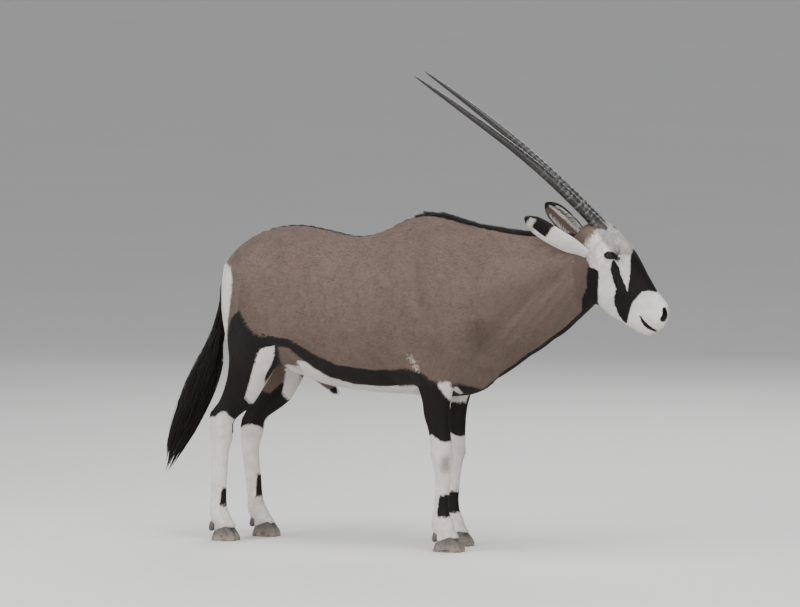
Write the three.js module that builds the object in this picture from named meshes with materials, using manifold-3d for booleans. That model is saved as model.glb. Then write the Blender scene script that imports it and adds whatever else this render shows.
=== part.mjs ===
// A standing gemsbok bull, life size, head low and turned to its left.
// Built in millimetres with +X toward the head, +Y toward its left side and +Z up.
import * as THREE from "three";
import { mergeVertices } from "three/addons/utils/BufferGeometryUtils.js";
import Module from "manifold-3d";

const wasm = await Module();
wasm.setup();

// Numbers below are laid out around the chest; this shift puts the origin under the middle of the whole.
const ORIGIN_SHIFT = new THREE.Vector3(-221, -10, 0);
// Width of the cut between two neighbouring nodes.
const GAP = 0.3;
const FAR = 4000;

// Trunk: x, top, bottom, half width, height of the widest line, pinch of the back, pinch of the belly.
const TRUNK = [
  [-486, 950, 880, 30, 915, 1.0, 1.0],
  [-476, 980, 815, 62, 900, 1.0, 1.0],
  [-455, 1012, 752, 104, 888, 1.0, 1.0],
  [-425, 1046, 702, 148, 876, 1.0, 1.0],
  [-381, 1078, 664, 180, 864, 1.0, 1.0],
  [-320, 1107, 636, 196, 850, 1.02, 1.0],
  [-242, 1127, 618, 204, 835, 1.06, 1.0],
  [-175, 1131, 597, 209, 820, 1.08, 1.0],
  [-75, 1117, 568, 222, 800, 1.05, 0.96],
  [60, 1099, 551, 236, 785, 1.05, 0.94],
  [143, 1119, 546, 236, 785, 1.12, 0.94],
  [238, 1166, 544, 226, 790, 1.3, 0.96],
  [322, 1187, 545, 208, 795, 1.42, 1.0],
  [400, 1180, 547, 192, 800, 1.4, 1.05],
  [460, 1163, 552, 176, 800, 1.3, 1.1],
  [520, 1148, 566, 154, 805, 1.2, 1.1],
  [575, 1120, 606, 122, 830, 1.1, 1.05],
  [615, 1070, 700, 76, 880, 1.0, 1.0],
  [632, 990, 820, 30, 910, 1.0, 1.0],
];

// Neck: x, middle y, top, bottom, half width, height of the widest line, pinch of the crest and the throat.
const NECK = [
  [400, 0, 1150, 580, 140, 800, 1.3, 1.1],
  [480, 2, 1154, 568, 154, 805, 1.25, 1.1],
  [571, 18, 1140, 600, 142, 830, 1.2, 1.1],
  [630, 33, 1131, 638, 130, 855, 1.2, 1.1],
  [693, 50, 1125, 684, 118, 885, 1.2, 1.05],
  [750, 68, 1121, 727, 109, 920, 1.2, 1.0],
  [812, 88, 1118, 773, 100, 950, 1.15, 1.0],
  [860, 106, 1120, 822, 92, 975, 1.1, 1.0],
  [900, 120, 1130, 862, 82, 1000, 1.0, 1.0],
  [926, 128, 1112, 905, 62, 1010, 1.0, 1.0],
  [940, 132, 1070, 960, 34, 1015, 1.0, 1.0],
];

// Head: the frame starts between the horn roots on the line of the face.
const HEAD_ORIGIN = new THREE.Vector3(992, 156, 1142);
const HEAD_YAW = THREE.MathUtils.degToRad(19);
const HEAD_DROP = THREE.MathUtils.degToRad(57);
// Along the face, top, bottom, half width, widest line, pinch of the face, pinch of the jaw.
const HEAD = [
  [-78, -60, -104, 24, -82, 1.0, 1.0],
  [-66, -36, -138, 50, -84, 1.0, 1.0],
  [-44, -14, -164, 66, -84, 0.95, 1.0],
  [-10, 0, -182, 72, -82, 0.9, 1.0],
  [30, 5, -192, 75, -74, 0.84, 1.0],
  [72, 9, -199, 77, -64, 0.8, 1.0],
  [110, 10, -204, 72, -66, 0.8, 1.0],
  [150, 8, -206, 65, -84, 0.84, 1.02],
  [190, 4, -203, 59, -100, 0.86, 1.05],
  [225, 2, -194, 53, -100, 0.86, 1.05],
  [262, 1, -178, 47, -90, 0.84, 1.0],
  [296, 5, -160, 44, -78, 0.8, 0.95],
  [324, 5, -146, 44, -70, 0.78, 0.9],
  [342, -5, -137, 42, -66, 0.78, 0.9],
  [359, -18, -126, 37, -66, 0.85, 0.95],
  [371, -36, -111, 28, -70, 0.95, 1.0],
  [378, -56, -92, 12, -74, 1.0, 1.0],
];

// Right hind leg by height: rear x, front x, inner and outer distance from the middle, pinch of its edges.
const HIND = [
  [1050, -396, -225, 30, 136, 1.7],
  [1000, -420, -205, 20, 170, 1.7],
  [930, -440, -182, 8, 198, 1.7],
  [850, -448, -160, 6, 210, 1.5],
  [780, -440, -160, 6, 208, 1.3],
  [707, -425, -184, 12, 196, 1.12],
  [660, -418, -207, 26, 186, 1.12],
  [625, -420, -233, 38, 176, 1.0],
  [590, -426, -259, 48, 166, 1.0],
  [554, -436, -284, 56, 158, 1.0],
  [520, -448, -308, 62, 150, 0.92],
  [492, -464, -330, 67, 145, 0.92],
  [468, -482, -360, 71, 142, 0.92],
  [446, -492, -390, 74, 140, 0.92],
  [424, -496, -408, 76, 138, 0.92],
  [395, -495, -409, 77, 137, 0.92],
  [365, -492, -413, 79, 134, 0.92],
  [330, -490, -425, 82, 128, 0.92],
  [280, -490, -431, 84, 125, 0.92],
  [200, -491, -436, 84, 124, 0.92],
  [140, -492, -438, 82, 125, 0.92],
  [115, -495, -435, 78, 129, 0.92],
  [95, -496, -427, 74, 132, 0.92],
  [74, -491, -416, 74, 132, 0.92],
  [55, -484, -405, 72, 134, 0.92],
  [38, -477, -396, 70, 136, 0.92],
  [8, -470, -392, 70, 136, 0.92],
];

// Right foreleg by height, from the top of the shoulder blade, in the same columns.
const FORE = [
  [1120, 300, 400, 30, 92, 1.8],
  [1060, 275, 455, 30, 142, 1.8],
  [1000, 268, 510, 30, 176, 1.8],
  [920, 272, 560, 25, 203, 1.8],
  [850, 303, 588, 25, 209, 1.6],
  [800, 303, 600, 25, 209, 1.4],
  [740, 300, 590, 30, 203, 1.4],
  [690, 305, 556, 40, 190, 1.2],
  [650, 308, 518, 52, 176, 1.05],
  [620, 318, 493, 62, 166, 1.05],
  [590, 330, 480, 68, 158, 0.92],
  [540, 352, 466, 74, 150, 0.92],
  [481, 364, 457, 78, 144, 0.92],
  [430, 382, 458, 80, 140, 0.92],
  [395, 387, 461, 79, 139, 0.92],
  [365, 390, 465, 77, 138, 0.92],
  [339, 391, 466, 76, 138, 0.92],
  [315, 395, 462, 78, 135, 0.92],
  [291, 401, 459, 80, 131, 0.92],
  [244, 406, 455, 83, 125, 0.92],
  [197, 403, 452, 83, 124, 0.92],
  [149, 398, 451, 82, 125, 0.92],
  [122, 393, 456, 78, 128, 0.92],
  [100, 390, 467, 74, 132, 0.92],
  [78, 392, 474, 73, 133, 0.92],
  [58, 400, 484, 71, 134, 0.92],
  [40, 410, 492, 70, 136, 0.92],
  [8, 414, 494, 70, 136, 0.92],
];

// How far along x the left legs stand off their partners: height, shift.
const HIND_STEP = [
  [0, 56],
  [200, 30],
  [345, 11],
  [405, 15],
  [450, 34],
  [520, 38],
  [600, 29],
  [680, 8],
  [730, 0],
];
const FORE_STEP = [
  [0, -66],
  [200, -65],
  [350, -58],
  [450, -48],
  [550, -34],
  [620, -20],
  [700, 0],
];

const MATERIALS = {
  coat: { color: 0x8f7c6c, roughness: 0.85, metalness: 0 },
  dark: { color: 0x1d1a18, roughness: 0.8, metalness: 0 },
  pale: { color: 0xcfc6ba, roughness: 0.85, metalness: 0 },
  horn: { color: 0x2a2522, roughness: 0.55, metalness: 0 },
  hoof: { color: 0x191614, roughness: 0.5, metalness: 0 },
  eye: { color: 0x120b07, roughness: 0.08, metalness: 0 },
};

// Smooth values between the rows, by their first column.
function rowAt(rows, key) {
  let i = 0;
  while (i < rows.length - 2 && key > rows[i + 1][0]) i += 1;
  const span = rows[i + 1][0] - rows[i][0];
  const t = (key - rows[i][0]) / span;
  const slope = (column, k) => {
    const step = (m) => rows[m + 1][0] - rows[m][0];
    const rise = (m) => (rows[m + 1][column] - rows[m][column]) / step(m);
    if (k === 0) return rise(0);
    if (k === rows.length - 1) return rise(k - 1);
    return (step(k) * rise(k - 1) + step(k - 1) * rise(k)) / (step(k) + step(k - 1));
  };
  return rows[i].map((a, column) => {
    if (column === 0) return key;
    const b = rows[i + 1][column];
    const m0 = slope(column, i) * span;
    const m1 = slope(column, i + 1) * span;
    const t2 = t * t;
    const t3 = t2 * t;
    const ends = (2 * t3 - 3 * t2 + 1) * a + (3 * t2 - 2 * t3) * b;
    return ends + (t3 - 2 * t2 + t) * m0 + (t3 - t2) * m1;
  });
}

// Keys between the first and the last row, each span shared into steps no longer than `step`.
function keysOf(rows, step) {
  const keys = [];
  for (let i = 0; i < rows.length - 1; i += 1) {
    const span = rows[i + 1][0] - rows[i][0];
    const parts = Math.max(1, Math.round(Math.abs(span) / step));
    for (let k = 0; k < parts; k += 1) keys.push(rows[i][0] + (span * k) / parts);
  }
  keys.push(rows[rows.length - 1][0]);
  return keys;
}

function signedPower(value, power) {
  return Math.sign(value) * Math.abs(value) ** power;
}

// One egg-shaped ring: half width along `side`, `rise` above the middle and `drop` below it along `up`.
function eggRing(count, middle, side, up, half, rise, drop, pinchTop = 1, pinchBottom = 1) {
  const ring = [];
  for (let k = 0; k < count; k += 1) {
    const angle = ((k + 0.5) / count) * Math.PI * 2;
    const high = Math.cos(angle) > 0;
    const across = signedPower(Math.sin(angle), high ? pinchTop : pinchBottom) * half;
    const along = Math.cos(angle) * (high ? rise : drop);
    ring.push(middle.clone().addScaledVector(side, across).addScaledVector(up, along));
  }
  return ring;
}

// Closed body through rings of equal count, each end closed by a fan.
function loft(rings) {
  const count = rings[0].length;
  const points = rings.flat();
  const index = [];
  for (let r = 0; r < rings.length - 1; r += 1) {
    for (let k = 0; k < count; k += 1) {
      const a = r * count + k;
      const b = r * count + ((k + 1) % count);
      index.push(a, b, b + count, a, b + count, a + count);
    }
  }
  const ends = [0, (rings.length - 1) * count];
  ends.forEach((start, side) => {
    const middle = new THREE.Vector3();
    for (let k = 0; k < count; k += 1) middle.addScaledVector(points[start + k], 1 / count);
    points.push(middle);
    for (let k = 0; k < count; k += 1) {
      const a = start + k;
      const b = start + ((k + 1) % count);
      if (side === 0) index.push(b, a, points.length - 1);
      else index.push(a, b, points.length - 1);
    }
  });
  const geometry = new THREE.BufferGeometry();
  geometry.setAttribute("position", new THREE.Float32BufferAttribute(points.flatMap((p) => p.toArray()), 3));
  geometry.setIndex(index);
  return geometry;
}

// Turns the faces round where they enclose a negative volume.
function outward(geometry) {
  const position = geometry.attributes.position;
  const index = geometry.index.array;
  const [a, b, c] = [new THREE.Vector3(), new THREE.Vector3(), new THREE.Vector3()];
  let volume = 0;
  for (let i = 0; i < index.length; i += 3) {
    a.fromBufferAttribute(position, index[i]);
    b.fromBufferAttribute(position, index[i + 1]);
    c.fromBufferAttribute(position, index[i + 2]);
    volume += a.dot(b.cross(c));
  }
  if (volume < 0) {
    for (let i = 0; i < index.length; i += 3) {
      [index[i], index[i + 1]] = [index[i + 1], index[i]];
    }
  }
  return geometry;
}

function solid(geometry) {
  const bare = geometry.clone();
  bare.deleteAttribute("normal");
  bare.deleteAttribute("uv");
  const merged = outward(mergeVertices(bare, 1e-4));
  const mesh = new wasm.Mesh({
    numProp: 3,
    vertProperties: new Float32Array(merged.attributes.position.array),
    triVerts: new Uint32Array(merged.index.array),
  });
  return new wasm.Manifold(mesh);
}

function joined(bodies) {
  return bodies.reduce((whole, body) => whole.add(body));
}

// Only the largest closed surface of a body is kept.
function largest(body) {
  return body.decompose().reduce((best, piece) => (piece.volume() > best.volume() ? piece : best));
}

function geometryOf(body) {
  const mesh = body.getMesh();
  const geometry = new THREE.BufferGeometry();
  geometry.setAttribute("position", new THREE.Float32BufferAttribute(Array.from(mesh.vertProperties), 3));
  geometry.setIndex(Array.from(mesh.triVerts));
  return geometry;
}

// The same body with every corner moved out along its normal.
function grown(body, distance) {
  const geometry = mergeVertices(geometryOf(body), 1e-4);
  geometry.computeVertexNormals();
  const { position, normal } = geometry.attributes;
  for (let i = 0; i < position.count; i += 1) {
    position.setXYZ(
      i,
      position.getX(i) + normal.getX(i) * distance,
      position.getY(i) + normal.getY(i) * distance,
      position.getZ(i) + normal.getZ(i) * distance,
    );
  }
  return solid(geometry);
}

// Everything on the side of a plane that its normal points to, less half a gap.
function halfSpace(point, normal) {
  const box = new THREE.BoxGeometry(FAR, FAR, FAR);
  const direction = new THREE.Vector3(...normal).normalize();
  box.applyQuaternion(new THREE.Quaternion().setFromUnitVectors(new THREE.Vector3(0, 0, 1), direction));
  const away = direction.clone().multiplyScalar(FAR / 2 + GAP / 2);
  box.translate(point[0] + away.x, point[1] + away.y, point[2] + away.z);
  return solid(box);
}

function opposite(normal) {
  return normal.map((value) => -value);
}

const AHEAD = new THREE.Vector3(1, 0, 0);
const UP = new THREE.Vector3(0, 0, 1);
const LEFT = new THREE.Vector3(0, 1, 0);

function trunkBody() {
  const rings = keysOf(TRUNK, 55).map((key) => {
    const [x, top, bottom, half, wide, pinchTop, pinchBottom] = rowAt(TRUNK, key);
    const middle = new THREE.Vector3(x, 0, wide);
    return eggRing(26, middle, LEFT, UP, half, top - wide, wide - bottom, pinchTop, pinchBottom);
  });
  return solid(loft(rings));
}

function neckBody() {
  const rings = keysOf(NECK, 50).map((key) => {
    const [x, y, top, bottom, half, wide, pinchTop, pinchBottom] = rowAt(NECK, key);
    const middle = new THREE.Vector3(x, y, wide);
    return eggRing(22, middle, LEFT, UP, half, top - wide, wide - bottom, pinchTop, pinchBottom);
  });
  return solid(loft(rings));
}

// Axes of the head: down the face, out of the forehead, and to its left.
const FACE = new THREE.Vector3(
  Math.cos(HEAD_DROP) * Math.cos(HEAD_YAW),
  Math.cos(HEAD_DROP) * Math.sin(HEAD_YAW),
  -Math.sin(HEAD_DROP),
);
const HEAD_LEFT = new THREE.Vector3(-Math.sin(HEAD_YAW), Math.cos(HEAD_YAW), 0);
const BROW = new THREE.Vector3().crossVectors(FACE, HEAD_LEFT).normalize();

// A point of the head: a down the face, b out of the forehead, c to the left.
function onHead(a, b, c) {
  return HEAD_ORIGIN.clone().addScaledVector(FACE, a).addScaledVector(BROW, b).addScaledVector(HEAD_LEFT, c);
}

function skullBody() {
  const rings = keysOf(HEAD, 20).map((key) => {
    const [a, top, bottom, half, wide, pinchTop, pinchBottom] = rowAt(HEAD, key);
    const middle = onHead(a, wide, 0);
    return eggRing(24, middle, HEAD_LEFT, BROW, half, top - wide, wide - bottom, pinchTop, pinchBottom);
  });
  return solid(loft(rings));
}

// An oval body with its own axes, used for brows, cheeks and hollows.
function oval(middle, axes, sizes, across = 10, down = 6) {
  const sphere = new THREE.SphereGeometry(1, across, down);
  const basis = new THREE.Matrix4().makeBasis(...axes);
  sphere.scale(...sizes);
  sphere.applyMatrix4(basis);
  sphere.translate(middle.x, middle.y, middle.z);
  return solid(sphere);
}

const HEAD_AXES = [FACE, BROW, HEAD_LEFT];
const EYE = { a: 61, b: -65, c: 60, radius: 20 };

// A ring of the two lids round an eye, longer than high.
function lids(side) {
  const torus = new THREE.TorusGeometry(19, 4.5, 5, 14);
  torus.scale(1.22, 0.8, 1);
  torus.rotateZ(THREE.MathUtils.degToRad(-12 * side));
  torus.rotateX(THREE.MathUtils.degToRad(-8 * side));
  torus.applyMatrix4(new THREE.Matrix4().makeBasis(...HEAD_AXES));
  const middle = onHead(EYE.a, EYE.b, side * (EYE.c + 13.5));
  torus.translate(middle.x, middle.y, middle.z);
  return solid(torus);
}

function eyeBody(side, extra = 0) {
  const radius = EYE.radius + extra;
  return oval(onHead(EYE.a, EYE.b, side * EYE.c), HEAD_AXES, [radius, radius, radius], 12, 8);
}

// Nostril: a comma-shaped hollow, drawn back and up.
function nostril(side) {
  const path = [
    [352, -44, 29, 3.5],
    [349, -31, 36, 6.5],
    [341, -19, 39, 7.5],
    [328, -11, 40, 6],
    [314, -10, 41, 2.5],
  ];
  const way = new THREE.Vector3().addVectors(FACE, BROW).normalize();
  const deep = 9;
  const rings = path.map(([a, b, c, size]) =>
    eggRing(8, onHead(a, b, side * c), HEAD_LEFT, way, deep, size, size),
  );
  return solid(loft(rings));
}

// Line of the mouth: a thin wedge pressed in from one corner round the lips to the other.
function mouthCut() {
  const rows = [
    [292, -96, 49],
    [320, -92, 46],
    [346, -86, 41],
    [365, -80, 32],
    [378, -76, 16],
    [386, -75, 0],
  ];
  const around = rows.concat(rows.slice(0, -1).reverse().map(([a, b, c]) => [a, b, -c]));
  const rings = around.map(([a, b, c], k) => {
    const opening = 1.2 + 4.2 * Math.sin((k / (around.length - 1)) * Math.PI) ** 3;
    const inner = 0.68;
    const deep = onHead(a - 14, b, c * inner);
    const top = onHead(a + 2, b + opening, c * 1.12);
    const outside = onHead(a + 6, b, c * 1.18);
    const bottom = onHead(a + 2, b - opening, c * 1.12);
    return [top, outside, bottom, deep];
  });
  return solid(loft(rings));
}

function headBody() {
  const parts = [skullBody()];
  [1, -1].forEach((side) => {
    // Brow over the eye, cheek muscle, ridge below the eye, upper lip.
    parts.push(oval(onHead(51, -44, side * 54), HEAD_AXES, [46, 20, 20]));
    parts.push(oval(onHead(165, -118, side * 26), HEAD_AXES, [84, 68, 36]));
    parts.push(oval(onHead(121, -85, side * 46), HEAD_AXES, [66, 15, 20]));
    parts.push(oval(onHead(341, -52, side * 20), HEAD_AXES, [36, 32, 24]));
    parts.push(lids(side));
  });
  // Chin with the lower lip.
  parts.push(oval(onHead(341, -104, 0), HEAD_AXES, [36, 24, 26]));
  let head = joined(parts).subtract(mouthCut());
  [1, -1].forEach((side) => {
    head = head.subtract(nostril(side)).subtract(eyeBody(side, GAP));
  });
  return head;
}

// A limb from its rows; the left one is mirrored and its foot moved along x.
function limbBody(rows, side, step) {
  const keys = keysOf([...rows].reverse(), 34).reverse();
  const sorted = [...rows].reverse();
  const rings = keys.map((key) => {
    const [z, rear, front, inner, outer, pinch] = rowAt(sorted, key);
    const shift = side > 0 ? stepShift(step, z) : 0;
    const middle = new THREE.Vector3((rear + front) / 2 + shift, (side * (inner + outer)) / 2, z);
    const half = (front - rear) / 2;
    const width = (outer - inner) / 2;
    return eggRing(12, middle, AHEAD, LEFT, half, width, width, pinch, pinch);
  });
  return solid(loft(rings));
}

function stepShift(step, z) {
  return z < step.at(-1)[0] ? rowAt(step, z)[1] : 0;
}

// Claws: height, rear x, front x, then the half width; the sole is flat.
// Those of the forefeet are stretched along x.
const CLAW = [
  [0, -44, 46, 18.5],
  [8, -45, 46, 19],
  [30, -42, 31, 18],
  [58, -34, 8, 15],
];

function clawBody(x, y, toe, stretch) {
  const rings = CLAW.map(([z, back, tip, half]) => {
    const rear = back * stretch;
    const front = tip * stretch;
    const ring = [];
    const outline = [
      [rear, -0.5], [rear + 6, -0.85], [rear * 0.3, -1], [front * 0.4, -0.92], [front * 0.85, -0.5],
      [front, 0], [front * 0.85, 0.5], [front * 0.4, 0.92], [rear * 0.3, 1], [rear + 6, 0.85], [rear, 0.5],
    ];
    outline.forEach(([along, across]) => {
      const inward = toe * Math.max(0, along) * 0.1;
      ring.push(new THREE.Vector3(x + along, y + across * half + inward, z));
    });
    return ring;
  });
  return solid(loft(rings));
}

// Horns: swept back, steeper and closer together at the root, ringed on the lower half.
const HORN = { length: 856, radius: 21.5, sunk: -0.04, steps: 44 };
// Share of the length, rise in degrees, spread from the middle of the head in degrees.
const HORN_WAY = [
  [0, 46.5, 3],
  [0.2, 43.5, 8],
  [0.4, 40, 14],
  [0.6, 36.6, 12],
  [0.78, 36, 7],
  [0.9, 35.2, 3],
  [1, 34.6, 0],
];

function hornBody(side) {
  const rings = [];
  const place = onHead(-1, -37, side * 30);
  let last = HORN.sunk;
  for (let k = 0; k <= HORN.steps; k += 1) {
    const t = HORN.sunk + (1 - HORN.sunk) * (k / HORN.steps) ** 0.92;
    const ahead = Math.max(t, 0);
    const [, riseDegrees, spread] = rowAt(HORN_WAY, ahead);
    const rise = THREE.MathUtils.degToRad(riseDegrees);
    const turn = Math.PI + HEAD_YAW - side * THREE.MathUtils.degToRad(spread);
    const along = new THREE.Vector3(
      Math.cos(rise) * Math.cos(turn),
      Math.cos(rise) * Math.sin(turn),
      Math.sin(rise),
    );
    place.addScaledVector(along, (t - last) * HORN.length);
    last = t;
    const taper = HORN.radius * Math.max(0.05, (1 - 0.68 * ahead) * Math.sqrt(1 - ahead ** 10));
    const ridge = t > 0.02 && t < 0.56 ? (k % 2) * 2.4 * (1 - t) : 0;
    const across = new THREE.Vector3().crossVectors(along, UP).normalize();
    const top = new THREE.Vector3().crossVectors(across, along).normalize();
    rings.push(eggRing(8, place, across, top, taper + ridge - 1, taper + ridge, taper + ridge));
  }
  return solid(loft(rings));
}

// Ears: a leaf rolled into a cup, drawn along its own line; open on the side named by `open`.
const EAR = [
  [0, 17, 17, 0.1],
  [0.1, 21, 18, 0.35],
  [0.22, 28, 19, 0.65],
  [0.4, 35, 19, 0.82],
  [0.58, 37, 17, 0.85],
  [0.75, 34, 14, 0.8],
  [0.88, 26, 10, 0.7],
  [0.96, 15, 6, 0.5],
  [1, 6, 3, 0.3],
];

function earBody(root, reach, open) {
  const along = reach.clone().normalize();
  const across = new THREE.Vector3().crossVectors(along, open).normalize();
  const back = new THREE.Vector3().crossVectors(across, along).normalize();
  const count = 7;
  const rings = keysOf(EAR, 0.09).map((key) => {
    const [t, half, depth, hollow] = rowAt(EAR, key);
    const middle = root.clone().addScaledVector(reach, t);
    middle.addScaledVector(back, -10 * Math.sin(t * Math.PI));
    const ring = [];
    for (let k = 0; k <= count; k += 1) {
      const angle = (k / count) * Math.PI;
      ring.push(
        middle.clone()
          .addScaledVector(across, -Math.cos(angle) * half)
          .addScaledVector(back, -Math.sin(angle) * depth),
      );
    }
    for (let k = count - 1; k >= 1; k -= 1) {
      const angle = (k / count) * Math.PI;
      const inner = 1 - 4.5 / Math.max(half, 6);
      ring.push(
        middle.clone()
          .addScaledVector(across, -Math.cos(angle) * half * Math.max(inner, 0.3))
          .addScaledVector(back, -Math.sin(angle) * (depth * hollow - 4 * hollow) + (1 - hollow) * 3),
      );
    }
    return ring;
  });
  return solid(loft(rings));
}

// Each ear by its root on the head, its reach and the way its cup opens.
const EARS = {
  right: { root: [12, -129, 60], reach: [-194, -103, 128], open: [-0.35, 0.8, 0.45] },
  left: { root: [4, -124, 60], reach: [-199, 36, 150], open: [-0.25, -0.9, 0.35] },
};

// Tail by height: x, then the half length and the half width of its hair.
const TAIL = [
  [205, -740, 4, 4],
  [232, -729, 12, 12],
  [270, -712, 24, 22],
  [330, -688, 42, 36],
  [380, -664, 52, 44],
  [470, -624, 60, 50],
  [577, -579, 60, 48],
  [640, -554, 50, 40],
  [703, -531, 37, 32],
  [770, -509, 27, 26],
  [845, -491, 22, 22],
  [905, -484, 23, 24],
  [950, -470, 22, 26],
];

// Repeatable spread of numbers between -1 and 1 for the locks.
function scatter(k, seed) {
  const value = Math.sin(k * 12.9898 + seed * 78.233) * 43758.5453;
  return (value - Math.floor(value)) * 2 - 1;
}

// One flat tapered lock through its points: `flat` is the way it is thin.
const LOCK_WIDTH = [0.6, 1, 0.8, 0.1];
const LOCK_THICK = [0.9, 1, 0.75, 0.16];

function lock(points, width, thick, flat) {
  const rings = points.map((point, k) => {
    const next = points[Math.min(k + 1, points.length - 1)];
    const along = next.clone().sub(points[Math.max(k - 1, 0)]).normalize();
    const across = new THREE.Vector3().crossVectors(along, flat).normalize();
    const out = new THREE.Vector3().crossVectors(across, along).normalize();
    const half = (width / 2) * LOCK_WIDTH[k];
    const deep = (thick / 2) * LOCK_THICK[k];
    return [
      point.clone().addScaledVector(across, half),
      point.clone().addScaledVector(out, deep),
      point.clone().addScaledVector(across, -half),
      point.clone().addScaledVector(out, -deep),
    ];
  });
  return solid(loft(rings));
}

// A point of the tail at height z, turned by `angle` round it, at a share of its half sizes.
function onTail(z, angle, share) {
  const [, x, deep, wide] = rowAt(TAIL, z);
  return new THREE.Vector3(x + Math.cos(angle) * deep * share, Math.sin(angle) * wide * share, z);
}

// The dock runs inside the hair and ends above the middle of the locks.
const DOCK_END = 560;

function dockBody() {
  const keys = keysOf(TAIL, 46).filter((key) => key > DOCK_END);
  const rings = keys.map((key) => {
    const [z, x, deep, wide] = rowAt(TAIL, key);
    const fade = Math.min(1, (z - DOCK_END + 20) / 160);
    const share = 0.5 + 0.5 * Math.min(1, Math.max(0, (z - 700) / 120));
    const size = share * fade;
    return eggRing(10, new THREE.Vector3(x, 0, z), LEFT, AHEAD, wide * size, deep * size, deep * size);
  });
  return solid(loft(rings));
}

// Tiers of hair: height of the roots, how many, length, share of the half size at the tips.
const TAIL_TIERS = [
  [806, 5, 270, 1.0],
  [716, 6, 300, 1.04],
  [640, 5, 310, 1.0],
  [588, 5, 345, 0.82],
  [572, 3, 360, 0.4],
];

function tailBody() {
  const parts = [dockBody()];
  TAIL_TIERS.forEach(([height, count, length, share], tier) => {
    for (let k = 0; k < count; k += 1) {
      const angle = ((k + 0.5 * (tier % 2)) / count) * Math.PI * 2 + 0.16 * scatter(k, tier);
      const start = height + 14 * scatter(k, tier + 9);
      const reach = length * (1 + 0.08 * scatter(k, tier + 3));
      const end = Math.max(208 + 10 * scatter(k, tier + 5), start - reach);
      const points = [0, 0.3, 0.66, 1].map((t, step) => {
        const out = [0.34, 0.68, 0.84, 0.98][step] * (t > 0.5 ? share : 1);
        return onTail(start + (end - start) * t, angle + 0.12 * t * scatter(k, tier + 7), out);
      });
      const flat = new THREE.Vector3(Math.cos(angle), Math.sin(angle), 0.12);
      parts.push(lock(points, 50, 15, flat));
    }
  });
  return largest(joined(parts));
}

// Height and middle of the crest, from the withers to the poll.
function crest(x) {
  const trunkTop = x < 580 ? rowAt(TRUNK, x)[1] : 0;
  const neckTop = x > 400 ? rowAt(NECK, Math.min(x, 900))[2] : 0;
  const y = x > 480 ? rowAt(NECK, Math.min(x, 900))[1] : 0;
  return new THREE.Vector3(x, y, Math.max(trunkTop, neckTop));
}

// Mane: short locks laid back over a low ridge along the crest.
function maneBody() {
  const rings = [];
  for (let x = 300; x <= 905; x += 55) {
    rings.push(eggRing(6, crest(x).add(new THREE.Vector3(0, 0, -9)), LEFT, UP, 10, 13, 10));
  }
  const parts = [solid(loft(rings))];
  for (let k = 0; k < 21; k += 1) {
    const x = 328 + k * 28;
    const side = k % 2 ? 1 : -1;
    const height = 9 + 5 * Math.min(1, (x - 300) / 120) + 2 * scatter(k, 2);
    const reach = 52 + 6 * scatter(k, 4);
    const points = [0, 0.35, 0.7, 1].map((t) => {
      const here = crest(x - reach * t);
      const lift = -10 + (height + 10) * Math.sin(Math.min(1, t * 1.25) * Math.PI * 0.5);
      return here.add(new THREE.Vector3(0, side * (3 + 5 * t), lift - 3 * t));
    });
    parts.push(lock(points, 17, 9, new THREE.Vector3(0.2, side * 0.8, 0.6)));
  }
  return largest(joined(parts));
}

// Dewclaws behind the fetlock, and the sheath under the belly.
function dewclaws(x, side) {
  return [-1, 1].map((toe) => {
    const middle = new THREE.Vector3(x - 46, side * 103 + toe * 18, 56);
    return oval(middle, [AHEAD, LEFT, UP], [13, 9, 17], 8, 6);
  });
}

function sheathBody() {
  const rows = [
    [-150, 604, 20, 16],
    [-110, 588, 24, 22],
    [-80, 568, 21, 22],
    [-62, 552, 15, 16],
    [-54, 544, 8, 9],
  ];
  const slanted = new THREE.Vector3(0.7, 0, 0.7);
  const rings = rows.map(([x, z, wide, deep]) => {
    return eggRing(10, new THREE.Vector3(x, 0, z), LEFT, slanted, wide, deep, deep);
  });
  return solid(loft(rings));
}

function node(name, body, kind) {
  const mesh = new THREE.Mesh(geometryOf(largest(body)), new THREE.MeshStandardMaterial(MATERIALS[kind]));
  mesh.material.name = kind;
  mesh.geometry.translate(...ORIGIN_SHIFT.toArray());
  mesh.geometry.computeVertexNormals();
  mesh.name = name;
  return mesh;
}

// Planes between the nodes: a point, and the normal toward the limb, the head or the hoof.
const NECK_CUT = { point: [588, 0, 860], normal: [0.93, 0.12, 0.35] };
const HEAD_CUT = { point: [921, 124, 1010], normal: [0.97, 0.2, -0.1] };
const FORE_CUT = { point: [400, 0, 640], normal: [0.15, 0, -1] };
const HIND_CUT = { point: [-170, 0, 640], normal: [-0.5, 0, -0.86] };
const CORONET = { height: 43, normal: [0.35, 0, -1] };

const LEGS = [
  { name: "foreleg", rows: FORE, step: FORE_STEP, foot: 456, stretch: 1.15, cut: FORE_CUT },
  { name: "hindleg", rows: HIND, step: HIND_STEP, foot: -436, stretch: 1, cut: HIND_CUT },
];
const SIDES = [
  { label: "right", side: -1 },
  { label: "left", side: 1 },
];

const group = new THREE.Group();
group.name = "gemsbok";

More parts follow.
